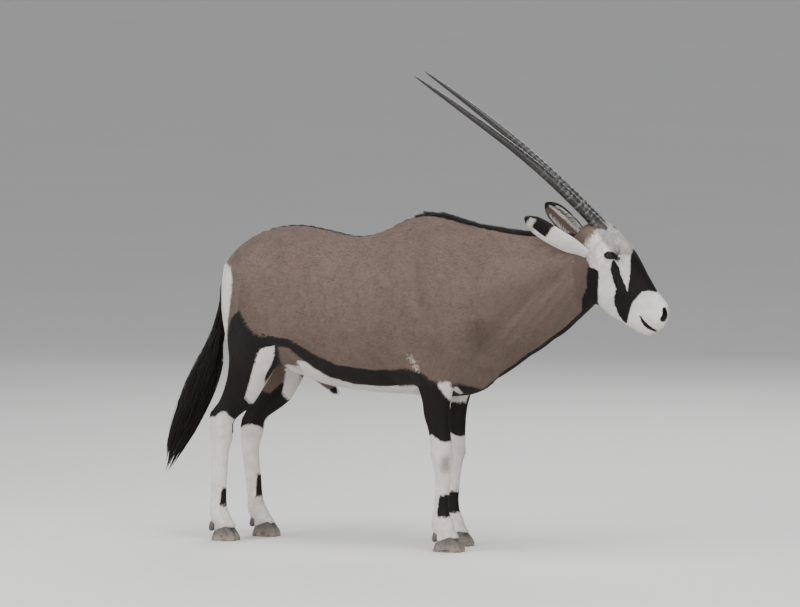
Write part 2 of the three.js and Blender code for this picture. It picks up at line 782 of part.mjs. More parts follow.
const core = trunkBody().add(neckBody()).add(sheathBody());
const coreClear = grown(core, GAP);
let upper = core;
LEGS.forEach(({ name, rows, step, foot, stretch, cut }) => {
  SIDES.forEach(({ label, side }) => {
    const limb = limbBody(rows, side, step);
    upper = upper.add(limb.intersect(halfSpace(cut.point, opposite(cut.normal))));
    const footX = foot + (side > 0 ? stepShift(step, 0) : 0);
    const coronet = [footX, 0, CORONET.height];
    const leg = joined([limb, ...dewclaws(footX, side)])
      .intersect(halfSpace(cut.point, cut.normal))
      .subtract(coreClear)
      .intersect(halfSpace(coronet, opposite(CORONET.normal)));
    group.add(node(`${name}_${label}`, leg, "coat"));
    [-1, 1].forEach((toe) => {
      const whole = clawBody(footX, side * 103 + toe * 20.5, -toe, stretch);
      const claw = whole.intersect(halfSpace(coronet, CORONET.normal));
      const place = toe * side > 0 ? "outer" : "inner";
      group.add(node(`hoof_${name}_${label}_${place}`, claw, "hoof"));
    });
  });
});

const flesh = upper.add(headBody());
const beyondNeck = halfSpace(NECK_CUT.point, NECK_CUT.normal);
const beforeNeck = halfSpace(NECK_CUT.point, opposite(NECK_CUT.normal));
const beyondHead = halfSpace(HEAD_CUT.point, HEAD_CUT.normal);
const beforeHead = halfSpace(HEAD_CUT.point, opposite(HEAD_CUT.normal));
group.add(node("torso", flesh.intersect(beforeNeck), "coat"));
group.add(node("neck", flesh.intersect(beyondNeck).intersect(beforeHead), "coat"));
group.add(node("head", flesh.intersect(beyondNeck).intersect(beyondHead), "coat"));

// What grows on the flesh stops one gap above it.
const clear = grown(flesh, GAP);
SIDES.forEach(({ label, side }) => {
  group.add(node(`eye_${label}`, eyeBody(side), "eye"));
  group.add(node(`horn_${label}`, hornBody(side).subtract(clear), "horn"));
  const ear = EARS[label];
  const root = onHead(ear.root[0], ear.root[1], side * ear.root[2]);
  const leaf = earBody(root, new THREE.Vector3(...ear.reach), new THREE.Vector3(...ear.open));
  group.add(node(`ear_${label}`, leaf.subtract(clear), "pale"));
});
group.add(node("tail", tailBody().subtract(clear), "dark"));
group.add(node("mane", maneBody().subtract(clear), "dark"));

export default group;
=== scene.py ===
"""A standing gemsbok bull, life size: one skin with its markings and short coat, ringed horns, cupped ears,
wet eyes, cloven hooves, a short black mane and a long black tail, on a pale studio floor.

Shapes are worked out in millimetres round the chest (+X to the head, +Y to the animal's left, +Z up)
and moved to the frame, in metres, when a mesh is made."""
import bmesh
import bpy
import numpy as np
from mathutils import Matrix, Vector


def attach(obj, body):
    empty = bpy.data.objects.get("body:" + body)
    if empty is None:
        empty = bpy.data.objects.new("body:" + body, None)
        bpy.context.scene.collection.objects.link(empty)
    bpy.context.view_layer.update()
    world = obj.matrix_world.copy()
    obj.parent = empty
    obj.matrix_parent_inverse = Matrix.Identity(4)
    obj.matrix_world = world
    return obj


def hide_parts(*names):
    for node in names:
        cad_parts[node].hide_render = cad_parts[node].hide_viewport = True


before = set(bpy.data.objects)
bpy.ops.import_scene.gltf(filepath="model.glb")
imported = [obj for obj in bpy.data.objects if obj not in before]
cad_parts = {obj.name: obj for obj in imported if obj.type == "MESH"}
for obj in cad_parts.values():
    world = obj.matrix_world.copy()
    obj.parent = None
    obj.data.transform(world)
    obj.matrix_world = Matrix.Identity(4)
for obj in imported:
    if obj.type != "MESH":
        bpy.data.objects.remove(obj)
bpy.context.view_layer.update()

rng = np.random.default_rng(20)

# Place of the chest's numbers in the frame, in millimetres.
TO_FRAME = np.array([-221.0, -10.0, 0.0])
# How deep the skin lies under the ends of the coat, and the grid that fuses it.
COAT_DEPTH = 3.0
VOXEL = 9.0

SIDES = ((-1, "right"), (1, "left"))

AHEAD = np.array([1.0, 0.0, 0.0])
LEFT = np.array([0.0, 1.0, 0.0])
UP = np.array([0.0, 0.0, 1.0])

# Trunk: x, top, bottom, half width, height of the widest line, pinch of the back and of the belly.
TRUNK = np.array([
    [-486, 950, 880, 30, 915, 1.0, 1.0],
    [-476, 980, 815, 62, 900, 1.0, 1.0],
    [-455, 1012, 752, 104, 888, 1.0, 1.0],
    [-425, 1046, 702, 148, 876, 1.0, 1.0],
    [-381, 1078, 664, 180, 864, 1.0, 1.0],
    [-320, 1107, 636, 196, 850, 1.02, 1.0],
    [-242, 1127, 618, 204, 835, 1.06, 1.0],
    [-175, 1131, 597, 209, 820, 1.08, 1.0],
    [-75, 1117, 568, 222, 800, 1.05, 0.96],
    [60, 1099, 551, 236, 785, 1.05, 0.94],
    [143, 1119, 546, 236, 785, 1.12, 0.94],
    [238, 1166, 544, 226, 790, 1.3, 0.96],
    [322, 1187, 545, 208, 795, 1.42, 1.0],
    [400, 1180, 547, 192, 800, 1.4, 1.05],
    [460, 1163, 552, 176, 800, 1.3, 1.1],
    [520, 1148, 566, 154, 805, 1.2, 1.1],
    [575, 1120, 606, 122, 830, 1.1, 1.05],
    [615, 1070, 700, 76, 880, 1.0, 1.0],
    [632, 990, 820, 30, 910, 1.0, 1.0],
])

# Neck: x, middle y, top, bottom, half width, height of the widest line, pinch of the crest and the throat.
NECK = np.array([
    [400, 0, 1150, 580, 140, 800, 1.3, 1.1],
    [480, 2, 1154, 568, 154, 805, 1.25, 1.1],
    [571, 18, 1140, 600, 142, 830, 1.2, 1.1],
    [630, 33, 1131, 638, 130, 855, 1.2, 1.1],
    [693, 50, 1125, 684, 118, 885, 1.2, 1.05],
    [750, 68, 1121, 727, 109, 920, 1.2, 1.0],
    [812, 88, 1118, 773, 100, 950, 1.15, 1.0],
    [860, 106, 1120, 822, 92, 975, 1.1, 1.0],
    [900, 120, 1130, 862, 82, 1000, 1.0, 1.0],
    [926, 128, 1112, 905, 62, 1010, 1.0, 1.0],
    [940, 132, 1070, 960, 34, 1015, 1.0, 1.0],
])

# Head: along the face, top, bottom, half width, widest line, pinch of the face and of the jaw.
HEAD = np.array([
    [-78, -60, -104, 24, -82, 1.0, 1.0],
    [-66, -36, -138, 50, -84, 1.0, 1.0],
    [-44, -14, -164, 66, -84, 0.95, 1.0],
    [-10, 0, -182, 72, -82, 0.9, 1.0],
    [30, 5, -192, 75, -74, 0.84, 1.0],
    [72, 9, -199, 77, -64, 0.8, 1.0],
    [110, 10, -204, 72, -66, 0.8, 1.0],
    [150, 8, -206, 65, -84, 0.84, 1.02],
    [190, 4, -203, 59, -100, 0.86, 1.05],
    [225, 2, -194, 53, -100, 0.86, 1.05],
    [262, 1, -178, 47, -90, 0.84, 1.0],
    [296, 5, -160, 44, -78, 0.8, 0.95],
    [324, 5, -146, 44, -70, 0.78, 0.9],
    [342, -5, -137, 42, -66, 0.78, 0.9],
    [359, -18, -126, 37, -66, 0.85, 0.95],
    [371, -36, -111, 28, -70, 0.95, 1.0],
    [378, -56, -92, 12, -74, 1.0, 1.0],
])

# Hind leg by height: rear x, front x, inner and outer distance from the middle, pinch of its edges.
HIND = np.array([
    [8, -470, -392, 70, 136, 0.92],
    [38, -477, -396, 70, 136, 0.92],
    [55, -484, -405, 72, 134, 0.92],
    [74, -491, -416, 74, 132, 0.92],
    [95, -496, -427, 74, 132, 0.92],
    [115, -495, -435, 78, 129, 0.92],
    [140, -492, -438, 82, 125, 0.92],
    [200, -491, -436, 84, 124, 0.92],
    [280, -490, -431, 84, 125, 0.92],
    [330, -490, -425, 82, 128, 0.92],
    [365, -492, -413, 79, 134, 0.92],
    [395, -495, -409, 77, 137, 0.92],
    [424, -496, -408, 76, 138, 0.92],
    [446, -492, -390, 74, 140, 0.92],
    [468, -482, -360, 71, 142, 0.92],
    [492, -464, -330, 67, 145, 0.92],
    [520, -448, -308, 62, 150, 0.92],
    [554, -436, -284, 56, 158, 1.0],
    [590, -426, -259, 48, 166, 1.0],
    [625, -420, -233, 38, 176, 1.0],
    [660, -418, -207, 26, 186, 1.12],
    [707, -425, -184, 12, 196, 1.12],
    [780, -440, -160, 6, 208, 1.3],
    [850, -448, -160, 6, 210, 1.5],
    [930, -440, -182, 8, 198, 1.7],
    [1000, -420, -205, 20, 170, 1.7],
    [1050, -396, -225, 30, 136, 1.7],
])

# Foreleg by height, up to the top of the shoulder blade, in the same columns.
FORE = np.array([
    [8, 414, 494, 70, 136, 0.92],
    [40, 410, 492, 70, 136, 0.92],
    [58, 400, 484, 71, 134, 0.92],
    [78, 392, 474, 73, 133, 0.92],
    [100, 390, 467, 74, 132, 0.92],
    [122, 393, 456, 78, 128, 0.92],
    [149, 398, 451, 82, 125, 0.92],
    [197, 403, 452, 83, 124, 0.92],
    [244, 406, 455, 83, 125, 0.92],
    [291, 401, 459, 80, 131, 0.92],
    [315, 395, 462, 78, 135, 0.92],
    [339, 391, 466, 76, 138, 0.92],
    [365, 390, 465, 77, 138, 0.92],
    [395, 387, 461, 79, 139, 0.92],
    [430, 382, 458, 80, 140, 0.92],
    [481, 364, 457, 78, 144, 0.92],
    [540, 352, 466, 74, 150, 0.92],
    [590, 330, 480, 68, 158, 0.92],
    [620, 318, 493, 62, 166, 1.05],
    [650, 308, 518, 52, 176, 1.05],
    [690, 305, 556, 40, 190, 1.2],
    [740, 300, 590, 30, 203, 1.4],
    [800, 303, 600, 25, 209, 1.4],
    [850, 303, 588, 25, 209, 1.6],
    [920, 272, 560, 25, 203, 1.8],
    [1000, 268, 510, 30, 176, 1.8],
    [1060, 275, 455, 30, 142, 1.8],
    [1120, 300, 400, 30, 92, 1.8],
])

# How far along x the left legs stand off their partners: height, shift.
HIND_STEP = np.array([
    [0, 56],
    [200, 30],
    [345, 11],
    [405, 15],
    [450, 34],
    [520, 38],
    [600, 29],
    [680, 8],
    [730, 0],
])
FORE_STEP = np.array([
    [0, -66],
    [200, -65],
    [350, -58],
    [450, -48],
    [550, -34],
    [620, -20],
    [700, 0],
])

# Middles of the right fore and hind hooves, and of the legs off the animal's middle.
FORE_FOOT = 456.0
HIND_FOOT = -436.0
LEG_MIDDLE = 103
# Height and slope of the line where hoof and skin meet, and how far the skin reaches into the hoof.
CORONET = 43.0
CORONET_SLOPE = 0.35
SKIN_OVERLAP = 3

# Tail: height, x, half length and half width of its hair.
TAIL = np.array([
    [205, -740, 4, 4],
    [232, -729, 12, 12],
    [270, -712, 24, 22],
    [330, -688, 42, 36],
    [380, -664, 52, 44],
    [470, -624, 60, 50],
    [577, -579, 60, 48],
    [640, -554, 50, 40],
    [703, -531, 37, 32],
    [770, -509, 27, 26],
    [845, -491, 22, 22],
    [905, -484, 23, 24],
    [950, -470, 22, 26],
])


def smooth_rows(rows, keys):
    """Rows at the wanted keys: a cubic between neighbours whose slopes weigh both spans by their lengths."""
    key = rows[:, 0]
    span = np.diff(key)[:, None]
    rise = np.diff(rows, axis=0) / span
    inner = (span[1:] * rise[:-1] + span[:-1] * rise[1:]) / (span[1:] + span[:-1])
    slope = np.vstack([rise[:1], inner, rise[-1:]])
    keys = np.clip(np.asarray(keys, float), key[0], key[-1])
    i = np.clip(np.searchsorted(key, keys, side="right") - 1, 0, len(key) - 2)
    h = span[i]
    t = ((keys - key[i]) / h[:, 0])[:, None]
    start, end = rows[i], rows[i + 1]
    return (
        (2 * t**3 - 3 * t**2 + 1) * start + (t**3 - 2 * t**2 + t) * h * slope[i]
        + (3 * t**2 - 2 * t**3) * end + (t**3 - t**2) * h * slope[i + 1]
    )


def stations(rows, step):
    """Evenly spaced keys from the first row to the last."""
    return np.linspace(rows[0, 0], rows[-1, 0], max(2, int(abs(rows[-1, 0] - rows[0, 0]) / step)))


def eased(value, low, high):
    """0 below low, 1 above high, and a smooth rise between."""
    t = np.clip((value - low) / (high - low), 0, 1)
    return t * t * (3 - 2 * t)


def unit(vectors):
    """Directions of length 1."""
    return vectors / np.maximum(np.linalg.norm(vectors, axis=-1, keepdims=True), 1e-9)


def column(values, count):
    """A column of so many rows from one value for all of them or one for each."""
    return np.broadcast_to(np.asarray(values, float), (count,))[:, None]


def egg_rings(count, middle, side, up, half, rise, drop, pinch_top=1.0, pinch_bottom=1.0):
    """Egg rings: across = half * sin^pinch, along = rise * cos above the middle and drop * cos below it."""
    angle = (np.arange(count) + 0.5) / count * 2 * np.pi
    sine, cosine = np.sin(angle)[None, :], np.cos(angle)[None, :]
    rings = len(middle)
    high = cosine > 0
    pinch = np.where(high, column(pinch_top, rings), column(pinch_bottom, rings))
    across = np.sign(sine) * np.abs(sine) ** pinch * column(half, rings)
    along = cosine * np.where(high, column(rise, rings), column(drop, rings))
    side = np.broadcast_to(side, middle.shape)[:, None, :]
    up = np.broadcast_to(up, middle.shape)[:, None, :]
    return middle[:, None, :] + across[..., None] * side + along[..., None] * up


def tube(rings):
    """Closed surface through rings (stations, count, 3), with a fan to a middle point at each end."""
    n, count = rings.shape[:2]
    points = np.vstack([rings.reshape(-1, 3), rings[0].mean(0), rings[-1].mean(0)])
    k = np.arange(count)
    after = (k + 1) % count
    start = (np.arange(n - 1) * count)[:, None]
    a, b = start + k, start + after
    wall = np.stack([a, b, b + count, a, b + count, a + count], -1).reshape(-1, 3)
    first = np.stack([after, k, np.full(count, n * count)], -1)
    last = np.stack([(n - 1) * count + k, (n - 1) * count + after, np.full(count, n * count + 1)], -1)
    faces = np.vstack([wall, first, last])
    corner = points[faces]
    volume = np.einsum("ij,ij->i", corner[:, 0], np.cross(corner[:, 1], corner[:, 2])).sum()
    return points, faces if volume > 0 else faces[:, ::-1]


def merged(shells):
    """Several closed surfaces as one list of points and faces."""
    points, faces, offset = [], [], 0
    for shell_points, shell_faces in shells:
        points.append(shell_points)
        faces.append(shell_faces + offset)
        offset += len(shell_points)
    return np.vstack(points), np.vstack(faces)


def in_frame(points):
    """Points moved from the chest's millimetres to the frame's metres, as one flat list."""
    return ((points + TO_FRAME) * 0.001).astype(np.float32).ravel()


def new_piece(name, points, faces, material, smooth=True):
    """An object at the origin whose mesh holds the points, given in the chest's millimetres."""
    mesh = bpy.data.meshes.new(name)
    size = faces.shape[1]
    mesh.vertices.add(len(points))
    mesh.vertices.foreach_set("co", in_frame(points))
    mesh.loops.add(faces.size)
    mesh.loops.foreach_set("vertex_index", faces.astype(np.int32).ravel())
    mesh.polygons.add(len(faces))
    mesh.polygons.foreach_set("loop_start", np.arange(0, faces.size, size, dtype=np.int32))
    mesh.update(calc_edges=True)
    mesh.polygons.foreach_set("use_smooth", np.full(len(faces), smooth))
    piece = bpy.data.objects.new(name, mesh)
    bpy.context.collection.objects.link(piece)
    if material:
        mesh.materials.append(material)
    return piece


def number_attribute(piece, name, values):
    """One number a point, for the materials to read."""
    attribute = piece.data.attributes.new(name, "FLOAT", "POINT")
    attribute.data.foreach_set("value", values.astype(np.float32))


# Head

# Where the head's own numbers start, how far it turns to the left and how far its face droops.
HEAD_PLACE = np.array([992.0, 156.0, 1142.0])
HEAD_YAW = np.radians(19)
HEAD_DROP = np.radians(57)
# Directions down the face, to the head's left and out of its forehead.
FACE = np.array([
    np.cos(HEAD_DROP) * np.cos(HEAD_YAW), np.cos(HEAD_DROP) * np.sin(HEAD_YAW), -np.sin(HEAD_DROP)
])
HEAD_LEFT = np.array([-np.sin(HEAD_YAW), np.cos(HEAD_YAW), 0])
BROW = np.cross(FACE, HEAD_LEFT)


def on_head(a, b, c):
    """Points a down the face, b out of the forehead and c to the left."""
    a, b, c = (np.asarray(v, float)[..., None] for v in (a, b, c))
    return HEAD_PLACE + a * FACE + b * BROW + c * HEAD_LEFT


def head_numbers(points):
    """The a, b and c of points."""
    off = points - HEAD_PLACE
    return off @ FACE, off @ BROW, off @ HEAD_LEFT


# Skin

def trunk_shell():
    """Closed form of the trunk, from its table."""
    x, top, bottom, half, wide, back, belly = smooth_rows(TRUNK, stations(TRUNK, 12)).T
    middle = np.stack([x, 0 * x, wide], -1)
    return tube(egg_rings(72, middle, LEFT, UP, half, top - wide, wide - bottom, back, belly))


def neck_shell():
    """Closed form of the neck, from its table."""
    x, y, top, bottom, half, wide, crest, throat = smooth_rows(NECK, stations(NECK, 12)).T
    middle = np.stack([x, y, wide], -1)
    return tube(egg_rings(64, middle, LEFT, UP, half, top - wide, wide - bottom, crest, throat))


def skull_shell():
    """Closed form of the head, from its table."""
    a, top, bottom, half, wide, face, jaw = smooth_rows(HEAD, stations(HEAD, 6)).T
    middle = on_head(a, wide, 0 * a)
    return tube(egg_rings(64, middle, HEAD_LEFT, BROW, half, top - wide, wide - bottom, face, jaw))


def lean(step, z):
    """How far along x a left leg stands off its partner at height z."""
    z = np.asarray(z, float)
    return smooth_rows(step, z.ravel())[:, 1].reshape(z.shape)


def foot_middle(foot, step, side):
    """Middle of a hoof along x: the left one of a pair stands off by its step."""
    return foot + (float(lean(step, 0.0)) if side > 0 else 0.0)


def leg_shell(rows, step, foot, side):
    """A leg, flattened underneath to the slope where the claws begin."""
    z, rear, front, inner, outer, pinch = smooth_rows(rows, stations(rows, 9)).T
    x = (rear + front) / 2 + (lean(step, z) if side > 0 else 0)
    middle = np.stack([x, side * (inner + outer) / 2, z], -1)
    half = (outer - inner) / 2
    rings = egg_rings(40, middle, AHEAD, LEFT, (front - rear) / 2, half, half, pinch, pinch)
    ahead = rings[..., 0] - foot_middle(foot, step, side)
    rings[..., 2] = np.maximum(rings[..., 2], CORONET + CORONET_SLOPE * ahead - SKIN_OVERLAP)
    return tube(rings)


def oval(middle, axes, sizes, around=28, down=18):
    """Ellipsoid: middle + cos(v) * size0 * axis0 + sin(v) * (cos(u), sin(u)) on the other two axes."""
    v = np.linspace(0.02, np.pi - 0.02, down)
    u = np.arange(around) / around * 2 * np.pi
    ring = np.sin(v)[:, None, None] * (
        sizes[1] * np.cos(u)[None, :, None] * axes[1] + sizes[2] * np.sin(u)[None, :, None] * axes[2]
    )
    return tube(middle + (np.cos(v) * sizes[0])[:, None, None] * axes[0] + ring)


HEAD_AXES = (FACE, BROW, HEAD_LEFT)

# Ovals added to the head: place on it, then half sizes down the face, out of the brow and across.
CHIN = ((341, -104, 0), (36, 24, 26))
# Brow, cheek muscle, ridge under the eye and lips of the left side; the right side mirrors them.
SIDE_OVALS = [
    ((51, -44, 54), (46, 20, 20)),
    ((165, -118, 26), (84, 68, 36)),
    ((121, -85, 46), (66, 15, 20)),
    ((341, -52, 20), (36, 32, 24)),
]


def face_forms():
    """The chin and the ovals of both sides of the face."""
    place, sizes = CHIN
    forms = [oval(on_head(*place), HEAD_AXES, sizes)]
    for side in (1, -1):
        for (a, b, c), sizes in SIDE_OVALS:
            forms.append(oval(on_head(a, b, side * c), HEAD_AXES, sizes))
    return forms


# Sheath under the belly: x, height, half width, half depth.
SHEATH = np.array([
    [-150.0, 604, 20, 16],
    [-110, 588, 24, 22],
    [-80, 568, 21, 22],
    [-62, 552, 15, 16],
    [-54, 544, 8, 9],
])


def sheath_shell():
    """The sheath, its rings tipped half way between upright and level."""
    x, z, wide, deep = SHEATH.T
    return tube(egg_rings(24, np.stack([x, 0 * x, z], -1), LEFT, unit(AHEAD + UP), wide, deep, deep))


# Fleshy root of the tail: height, radius.
DOCK = np.array([
    [640, 7],
    [700, 11],
    [800, 16],
    [905, 21],
    [950, 24],
])


def dock_radius(z):
    """Radius of the tail's fleshy root at height z."""
    return np.interp(z, DOCK[:, 0], DOCK[:, 1])


def dock_shell():
    """The fleshy root of the tail, thinning to its end inside the hair."""
    z = np.linspace(950, 640, 36)
    _, x, _, _ = smooth_rows(TAIL, z).T
    size = dock_radius(z)
    return tube(egg_rings(24, np.stack([x, 0 * x, z], -1), LEFT, AHEAD, size, size, size))


def points_of(mesh):
    """A mesh's points in the chest's millimetres."""
    points = np.empty(len(mesh.vertices) * 3, np.float32)
    mesh.vertices.foreach_get("co", points)
    return points.reshape(-1, 3).astype(float) * 1000 - TO_FRAME


def edges_of(mesh):
    """Both point numbers of each edge."""
    edges = np.empty(len(mesh.edges) * 2, np.int32)
    mesh.edges.foreach_get("vertices", edges)
    return edges.reshape(-1, 2)


def relax(points, edges, rounds, weight=1.0, shares=(0.5, -0.53)):
    """Evens the points: in each round they move by these shares of the way to their neighbours' middle.

    The second share leads back, a little farther than the first, so that forms keep their size."""
    count = np.bincount(edges.ravel(), minlength=len(points))[:, None]
    weight = column(weight, len(points))
    for share in shares * rounds:
        total = np.stack([
            np.bincount(edges[:, 0], points[edges[:, 1], k], len(points))
            + np.bincount(edges[:, 1], points[edges[:, 0], k], len(points))
            for k in range(3)
        ], -1)
        points = points + weight * share * (total / count - points)
    return points


def write_points(mesh, points):
    """Moves a mesh's points to these places, given in the chest's millimetres."""
    mesh.vertices.foreach_set("co", in_frame(points))
    mesh.update()


def normals_of(mesh):
    """A mesh's smooth normals, one a point."""
    normals = np.empty(len(mesh.vertices) * 3, np.float32)
    mesh.vertex_normals.foreach_get("vector", normals)
    return normals.reshape(-1, 3).astype(float)


def split_faces(mesh, wanted):
    """Halves every edge of the faces whose middle passes the test, so that they carry finer forms."""
    points = points_of(mesh)
    bm = bmesh.new()
    bm.from_mesh(mesh)
    bm.faces.ensure_lookup_table()
    first = np.array([face.verts[0].index for face in bm.faces])
    third = np.array([face.verts[2].index for face in bm.faces])
    chosen = np.flatnonzero(wanted((points[first] + points[third]) / 2))
    edges = {edge for i in chosen for edge in bm.faces[i].edges}
    bmesh.ops.subdivide_edges(bm, edges=list(edges), cuts=1, use_grid_fill=True)
    bm.to_mesh(mesh)
    bm.free()


# Place of the eyes on the head and size of their balls.
EYE = {"a": 61.0, "b": -65.0, "c": 60.0, "radius": 20.0}


def eye_frame(side):
    """Middle of the eyeball, its outward axis, its long axis, level when the head hangs, and the axis up."""
    out = unit(side * HEAD_LEFT + 0.2 * BROW + 0.12 * FACE)
    level = 0.66 * FACE + 0.75 * BROW
    long_axis = unit(level - out * (out @ level))
    up_axis = np.cross(out, long_axis)
    up_axis = up_axis if up_axis[2] > 0 else -up_axis
    return on_head(EYE["a"], EYE["b"], side * EYE["c"]), out, long_axis, up_axis


def near_eye(points, reach):
    """Whether points lie within reach of the middle of an eyeball."""
    near = np.zeros(len(points), bool)
    for side in (1, -1):
        near |= np.linalg.norm(points - eye_frame(side)[0], axis=1) < reach
    return near


def on_head_or_leg(points):
    """Whether points belong to the head or to the lower legs."""
    return (head_numbers(points)[0] > -50) & (points[:, 0] > 880) | (points[:, 2] < 470)


def on_muzzle_or_lids(points):
    """Whether points belong to the end of the face or lie round an eye."""
    return (head_numbers(points)[0] > 290) & (points[:, 0] > 900) | near_eye(points, 52)


def on_eye_or_nostril(points):
    """Whether points lie close to an eyeball or a nostril."""
    return near_eye(points, 34) | near_nostril(points, 26)


def refine(mesh, wanted, rounds):
    """Splits the faces that pass the test and evens the points there."""
    split_faces(mesh, wanted)
    points = points_of(mesh)
    write_points(mesh, relax(points, edges_of(mesh), rounds, weight=wanted(points)))


def make_skin(material):
    """One closed skin: forms fused on a voxel grid, evened, split finer in steps, then sculpted."""
    shells = [trunk_shell(), neck_shell(), skull_shell(), sheath_shell(), dock_shell(), *face_forms()]
    for side in (1, -1):
        shells += [leg_shell(HIND, HIND_STEP, HIND_FOOT, side), leg_shell(FORE, FORE_STEP, FORE_FOOT, side)]
    rough = new_piece("rough", *merged(shells), None)
    remesh = rough.modifiers.new("fuse", "REMESH")
    remesh.mode = "VOXEL"
    remesh.voxel_size = VOXEL * 0.001
    evaluated = rough.evaluated_get(bpy.context.evaluated_depsgraph_get())
    mesh = bpy.data.meshes.new_from_object(evaluated)
    mesh.name = "skin"
    bpy.data.objects.remove(rough)
    points = points_of(mesh)
    a = head_numbers(points)[0]
    on_trunk = (1 - eased(a, -60, 20) * (points[:, 0] > 860)) * eased(points[:, 2], 430, 640)
    points = relax(points, edges_of(mesh), 10)
    points = relax(points, edges_of(mesh), 9, weight=on_trunk, shares=(0.5,))
    write_points(mesh, points)
    refine(mesh, on_head_or_leg, 4)
    refine(mesh, on_muzzle_or_lids, 3)
    refine(mesh, on_eye_or_nostril, 2)

    points, normals = points_of(mesh), normals_of(mesh)
    points = sculpt_body(points, normals)
    points = sculpt_head(points, normals)
    write_points(mesh, points)
    points, normals = points_of(mesh), normals_of(mesh)
    a = head_numbers(points)[0]
    on_leg = 1 - eased(points[:, 2], 430, 620)
    depth = COAT_DEPTH * (1 - 0.6 * eased(a, 0, 120) * (points[:, 0] > 900)) * (1 - 1.35 * on_leg)
    write_points(mesh, points - normals * depth[:, None])
    mesh.polygons.foreach_set("use_smooth", np.ones(len(mesh.polygons), bool))
    mesh.materials.clear()
    mesh.materials.append(material)
    skin = bpy.data.objects.new("skin", mesh)
    bpy.context.collection.objects.link(skin)
    return skin


# Forms pressed into the skin

def path_distance(points, path):
    """Distance of flat points from a bent line, and how far along it (0 to 1) the nearest place is."""
    path = np.asarray(path, float)
    nearest = np.full(len(points), 1e9)
    along = np.zeros(len(points))
    lengths = np.linalg.norm(np.diff(path, axis=0), axis=1)
    run = np.concatenate([[0], np.cumsum(lengths)]) / lengths.sum()
    for i, (start, end) in enumerate(zip(path[:-1], path[1:])):
        way = end - start
        t = np.clip((points - start) @ way / (way @ way), 0, 1)
        distance = np.linalg.norm(points - start - t[:, None] * way, axis=1)
        closer = distance < nearest
        nearest[closer] = distance[closer]
        along[closer] = (run[i] + (run[i + 1] - run[i]) * t)[closer]
    return nearest, along


def inside_distance(points, outline):
    """Signed distance of flat points from a closed outline, positive inside."""
    outline = np.asarray(outline, float)
    distance, _ = path_distance(points, np.vstack([outline, outline[:1]]))
    inside = np.zeros(len(points), bool)
    x, y = points[:, 0], points[:, 1]
    for (x0, y0), (x1, y1) in zip(outline, np.roll(outline, -1, axis=0)):
        if y0 == y1:
            continue
        crosses = ((y0 > y) != (y1 > y)) & (x < (x1 - x0) * (y - y0) / (y1 - y0) + x0)
        inside ^= crosses
    return np.where(inside, distance, -distance)


def level_x(points):
    """The x of points, the left legs taken back by their step, so that both sides share one drawing."""
    x, y, z = points.T
    fore = lean(FORE_STEP, z) * eased(x, 190, 290)
    hind = lean(HIND_STEP, z) * (x < 0)
    return x - np.where(y > 0, fore + hind, 0)


# Forms of the body: a line through (x, z), the reach of the form and how far it stands out.
BODY_FORMS = [
    # Shoulder and elbow
    ([(350, 1120), (470, 960), (572, 832)], 20, 5),
    ([(584, 816)], 44, 9),
    ([(292, 1060), (300, 880), (318, 740)], 30, -6),
    ([(430, 770)], 62, 7),
    ([(470, 905), (430, 1040)], 40, 4),
    ([(344, 640)], 20, 8),
    # Hip, thigh and flank
    ([(-178, 1046)], 34, 8),
    ([(-448, 985)], 26, 7),
    ([(-330, 930), (-352, 760), (-384, 610)], 16, -5),
    ([(-270, 900), (-262, 760)], 60, 5),
    ([(-216, 722)], 34, 6),
    ([(-190, 742), (-128, 655)], 18, 6),
    ([(-215, 800), (-160, 880)], 40, -5),
    # Hock, and the cannon bone and fetlock under it
    ([(-492, 458)], 13, 6),
    ([(-456, 552), (-470, 478)], 10, -6),
    ([(-438, 420)], 15, 4),
    ([(-480, 352), (-480, 120)], 5, 2.5),
    ([(-470, 330), (-470, 130)], 4, -2.2),
    ([(-458, 96)], 18, 2.5),
    # Knee, and the cannon bone and forearm next to it
    ([(455, 330)], 20, 4),
    ([(398, 352)], 12, 4),
    ([(415, 280), (417, 130)], 5, 2.4),
    ([(425, 285), (427, 140)], 4, -2.2),
    ([(424, 560), (414, 440)], 30, 3),
    # Neck, folds of the throat and breast
    ([(560, 705), (640, 800), (780, 930), (850, 985)], 26, -6),
    ([(600, 920), (740, 1010), (850, 1050)], 52, 6),
    ([(640, 760), (700, 820)], 10, 2.5),
    ([(672, 735), (742, 800)], 9, 2.5),
    ([(706, 722), (782, 800)], 8, 2),
    ([(520, 700), (600, 640)], 22, 5),
    ([(330, 575), (250, 600)], 30, -3),
]


def form_heights(flat, forms, share):
    """What the forms add at flat points, the sum of height * exp(-(distance / reach)^2) * share."""
    total = np.zeros(len(flat))
    for path, reach, height in forms:
        if len(path) == 1:
            distance = np.linalg.norm(flat - np.array(path[0], float), axis=1)
        else:
            distance, _ = path_distance(flat, path)
        total += height * np.exp(-((distance / reach) ** 2)) * share
    return total


